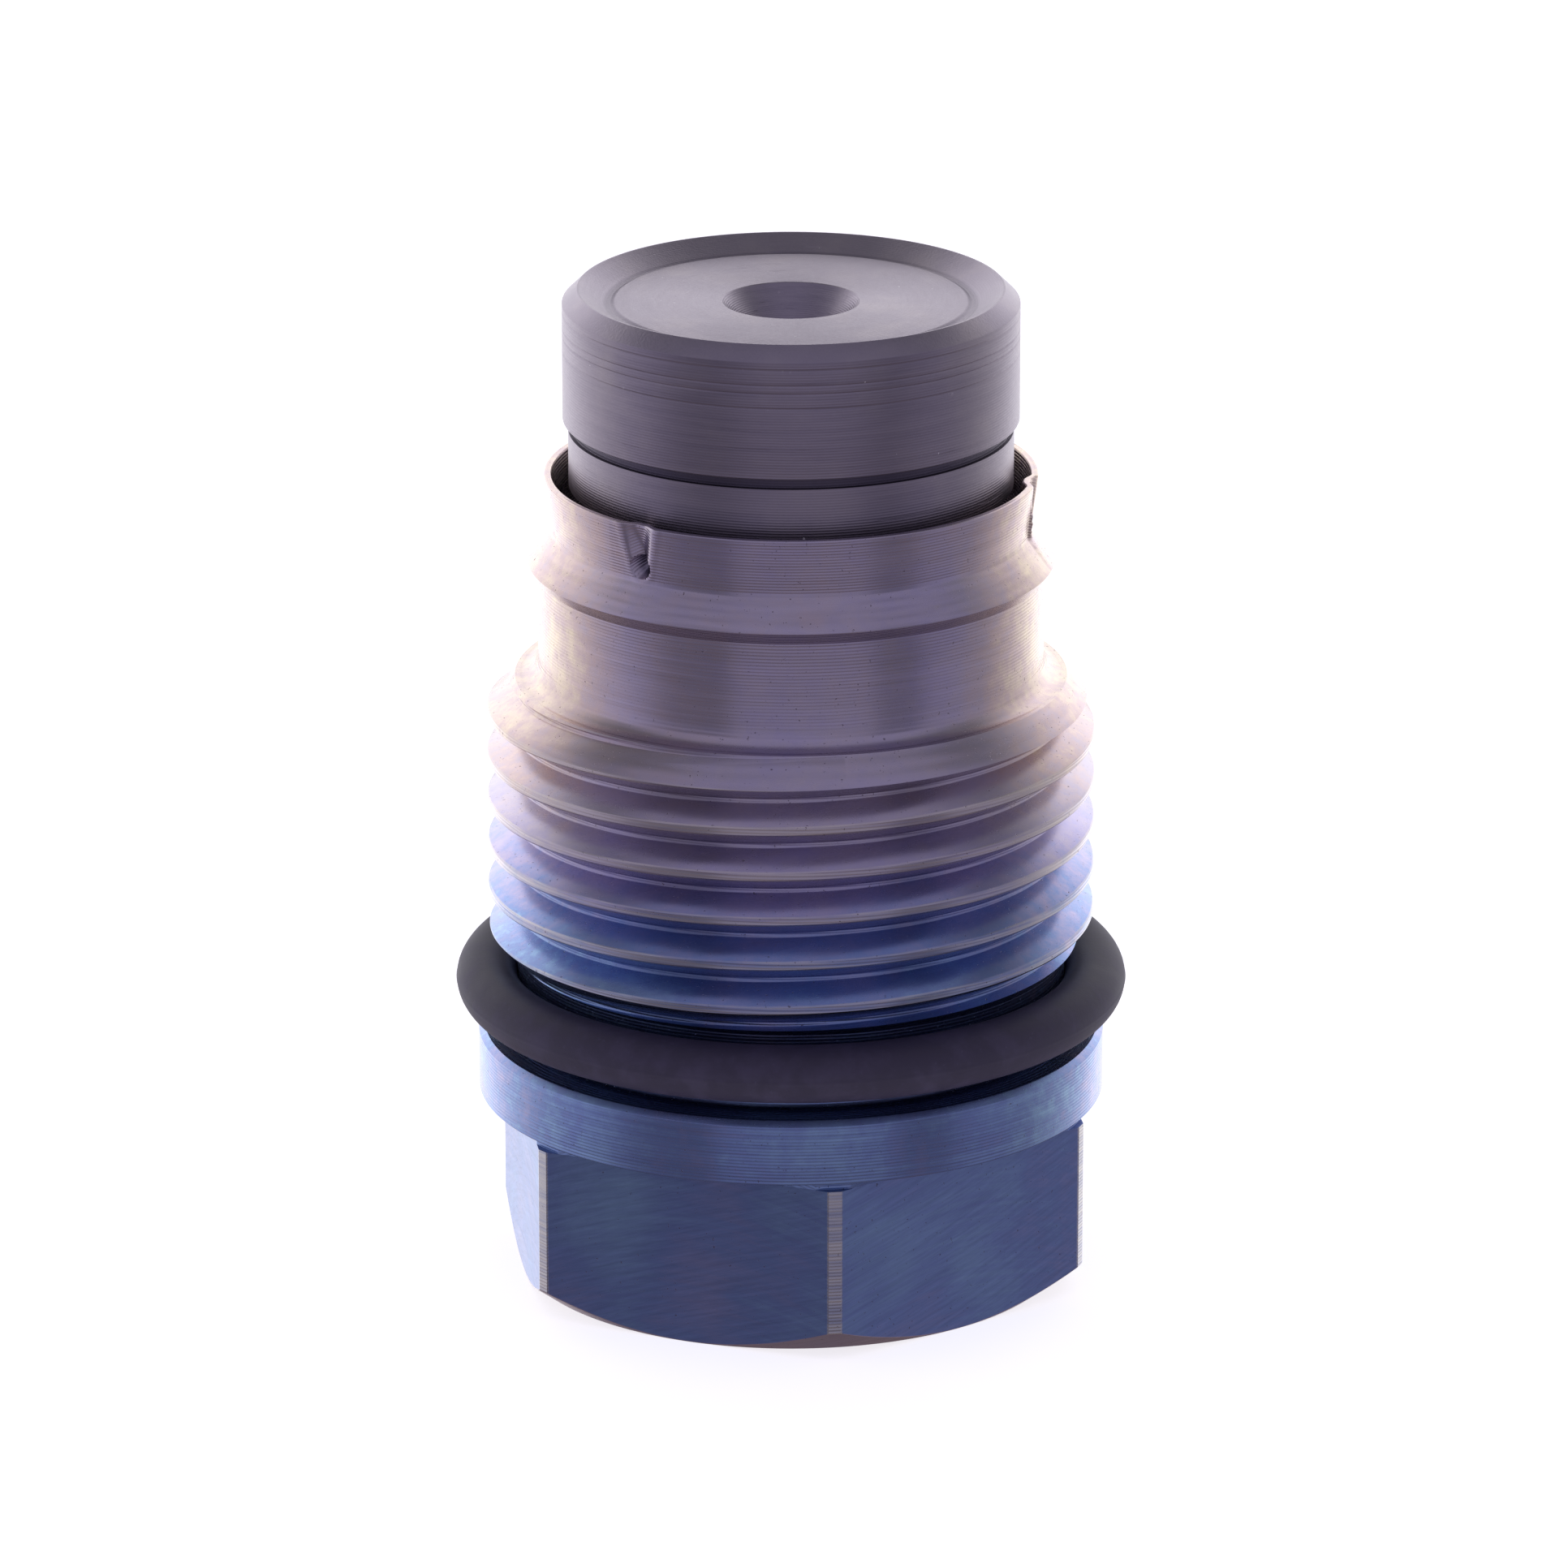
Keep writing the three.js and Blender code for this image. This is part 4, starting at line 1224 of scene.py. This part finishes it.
def build_world(settings):
    """A studio in upright bands: bright behind the valve, dim overhead, a soft panel by the camera."""
    world = bpy.data.worlds.new("studio")
    bpy.context.scene.world = world
    shader = Shader(world)
    direction = shader.node("ShaderNodeTexCoord", output=0)
    parts = shader.node("ShaderNodeSeparateXYZ", None, direction).socket.node
    x, y, z = (Value(shader, parts.outputs[i]) for i in range(3))
    azimuth = shader.node("ShaderNodeMath", {"operation": "ARCTAN2"}, x, y * -1.0)
    stops = [(degrees / 360 + 0.5, 3 * (level / STUDIO_PEAK,)) for degrees, level in STUDIO_BANDS]
    bands = shader.node("ShaderNodeValToRGB", {"stops": stops}, azimuth * (1 / FULL_TURN) + 0.5)
    level = bands * STUDIO_PEAK
    above = shader.step(z, 0.4, 0.8)
    behind = shader.step(y, -0.1, 0.15)
    overhead = settings.overhead - behind * (settings.overhead - settings.overhead_behind)
    level = level * (1.0 - above) + above * overhead
    below = 1.0 - shader.step(z, -0.62, -0.42)
    level = level * (1.0 - below) + below * settings.underneath
    tone = shader.blend(LIGHT_BY_CAMERA, LIGHT_BEHIND, shader.step(y, -0.3, 0.5))
    tone = shader.blend(tone, LIGHT_BELOW, below)
    surface = shader.node("ShaderNodeBackground", None, color=tone, strength=level)
    shader.finish(surface, "ShaderNodeOutputWorld")


def build_floor(settings):
    """A plain pale floor that the metal doesn't mirror."""
    bpy.ops.object.select_all(action="DESELECT")
    bpy.ops.mesh.primitive_circle_add(
        vertices=96, radius=settings.floor_reach, fill_type="NGON", location=(0.0, 0.0, 0.0)
    )
    floor = bpy.context.object
    floor.name = "floor"
    material = bpy.data.materials.new("pale_floor")
    shader = Shader(material)
    surface = shader.node(
        "ShaderNodeBsdfPrincipled",
        None,
        base_color=(*settings.floor_colour, 1.0),
        roughness=0.9,
        specular_ior_level=0.0,
        emission_color=(*FLOOR_GLOW, 1.0),
        emission_strength=FLOOR_GLOW_STRENGTH,
    )
    shader.finish(surface)
    floor.data.materials.append(material)
    floor.visible_glossy = False
    floor.visible_shadow = False


def build_camera(settings):
    """The long lens that looks down on the valve's front."""
    target = Vector((-settings.target_side, 0.0, settings.target_height))
    rise = settings.elevation
    data = bpy.data.cameras.new("camera")
    data.sensor_width = 36.0
    data.lens = settings.lens
    data.clip_start = 0.01
    data.clip_end = 20.0
    camera = bpy.data.objects.new("camera", data)
    bpy.context.collection.objects.link(camera)
    camera.location = target + settings.distance * Vector((0.0, -math.cos(rise), math.sin(rise)))
    camera.rotation_euler = (math.pi / 2 - rise, 0.0, 0.0)
    bpy.context.scene.camera = camera


# ---------- operators ----------


class VALVE_OT_stage(bpy.types.Operator):
    """Sets the camera, the floor and the light"""

    bl_idname = "valve.stage"
    bl_label = "Stage"

    def execute(self, context):
        settings = context.scene.valve_stage
        build_camera(settings)
        build_world(settings)
        build_floor(settings)
        context.scene.view_settings.view_transform = "Standard"
        return {"FINISHED"}


class VALVE_OT_housing(bpy.types.Operator):
    """Turns, mills, threads and stakes the housing"""

    bl_idname = "valve.housing"
    bl_label = "Housing"

    def execute(self, context):
        scene = context.scene
        piece = build_housing(scene.valve_housing, scene.valve_stakes)
        material = made_material("tinted_steel", blued_steel, scene.valve_finishes, scene.valve_housing)
        settle(piece, "housing", "housing_body", material)
        return {"FINISHED"}


class VALVE_OT_seat_body(bpy.types.Operator):
    """Turns and slots the dark valve seat body"""

    bl_idname = "valve.seat_body"
    bl_label = "Seat body"

    def execute(self, context):
        scene = context.scene
        piece = build_seat_body(scene.valve_seat_body, scene.valve_housing)
        material = made_material(
            "coated_steel", phosphated_steel, scene.valve_finishes, scene.valve_seat_body
        )
        settle(piece, "valve_seat_body", "seat_body", material)
        return {"FINISHED"}


class VALVE_OT_o_ring(bpy.types.Operator):
    """Moulds the O-ring above the flange"""

    bl_idname = "valve.o_ring"
    bl_label = "O-ring"

    def execute(self, context):
        scene = context.scene
        piece = build_ring(scene.valve_ring, scene.valve_housing)
        material = made_material("moulded_rubber", nitrile_rubber, scene.valve_finishes)
        settle(piece, "o_ring", "seal_ring", material)
        return {"FINISHED"}


class VALVE_OT_piston(bpy.types.Operator):
    """Turns the valve piston and its spring plate"""

    bl_idname = "valve.piston"
    bl_label = "Piston and spring plate"

    def execute(self, context):
        scene = context.scene
        finishes = scene.valve_finishes
        piston = build_piston(scene.valve_inner, scene.valve_seat_body, scene.valve_housing)
        plate = build_plate(scene.valve_inner, scene.valve_housing)
        settle(piston, "valve_piston", "piston", lapped_steel(finishes))
        settle(plate, "spring_plate", "piston", shim_steel(finishes))
        return {"FINISHED"}


class VALVE_OT_spring(bpy.types.Operator):
    """Winds and grinds the compression spring"""

    bl_idname = "valve.spring"
    bl_label = "Spring"

    def execute(self, context):
        scene = context.scene
        piece = build_spring(scene.valve_inner)
        steel = oiled_steel(scene.valve_finishes)
        settle(piece, "compression_spring", "housing_body", steel)
        low, high = SPRING_BOX
        lift = next(j for j in frame["joints"] if j["name"] == "valve_lift")["range_m"][1]
        length = high.z - low.z
        (length - lift) / length
        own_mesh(piece)
        return {"FINISHED"}


class VALVE_OT_stop_stack(bpy.types.Operator):
    """Turns the stroke stop and stamps the shims under it"""

    bl_idname = "valve.stop_stack"
    bl_label = "Stroke stop and shims"

    def execute(self, context):
        scene = context.scene
        finishes = scene.valve_finishes
        stop = build_stop(scene.valve_inner, scene.valve_housing)
        settle(stop, "stroke_stop", "housing_body", lapped_steel(finishes))
        for node in ("adjusting_shim_thin", "adjusting_shim_thick"):
            shim = build_shim(node, scene.valve_housing)
            settle(shim, node, "housing_body", shim_steel(finishes))
        return {"FINISHED"}


class VALVE_PT_panel(bpy.types.Panel):
    """Lists the cartridge's pieces and its stage"""

    bl_idname = "VALVE_PT_panel"
    bl_label = "Valve Cartridge"
    bl_space_type = "VIEW_3D"
    bl_region_type = "UI"
    bl_category = "Valve"

    def draw(self, context):
        for operator in OPERATORS:
            self.layout.operator(operator.bl_idname)


GROUPS = {
    "valve_housing": HousingSizes,
    "valve_stakes": StakeSizes,
    "valve_seat_body": SeatBodySizes,
    "valve_inner": InnerSizes,
    "valve_ring": RingSizes,
    "valve_finishes": Finishes,
    "valve_stage": StageSettings,
}
OPERATORS = (
    VALVE_OT_stage,
    VALVE_OT_housing,
    VALVE_OT_seat_body,
    VALVE_OT_o_ring,
    VALVE_OT_piston,
    VALVE_OT_spring,
    VALVE_OT_stop_stack,
)


def register():
    for name, group in GROUPS.items():
        bpy.utils.register_class(group)
        setattr(bpy.types.Scene, name, bpy.props.PointerProperty(type=group))
    for cls in (*OPERATORS, VALVE_PT_panel):
        bpy.utils.register_class(cls)


def unregister():
    for cls in (VALVE_PT_panel, *reversed(OPERATORS)):
        bpy.utils.unregister_class(cls)
    for name, group in reversed(GROUPS.items()):
        delattr(bpy.types.Scene, name)
        bpy.utils.unregister_class(group)


def main():
    register()
    bpy.ops.valve.stage()
    bpy.ops.valve.housing()
    bpy.ops.valve.seat_body()
    bpy.ops.valve.o_ring()
    bpy.ops.valve.piston()
    bpy.ops.valve.spring()
    bpy.ops.valve.stop_stack()


if __name__ == "__main__":
    main()
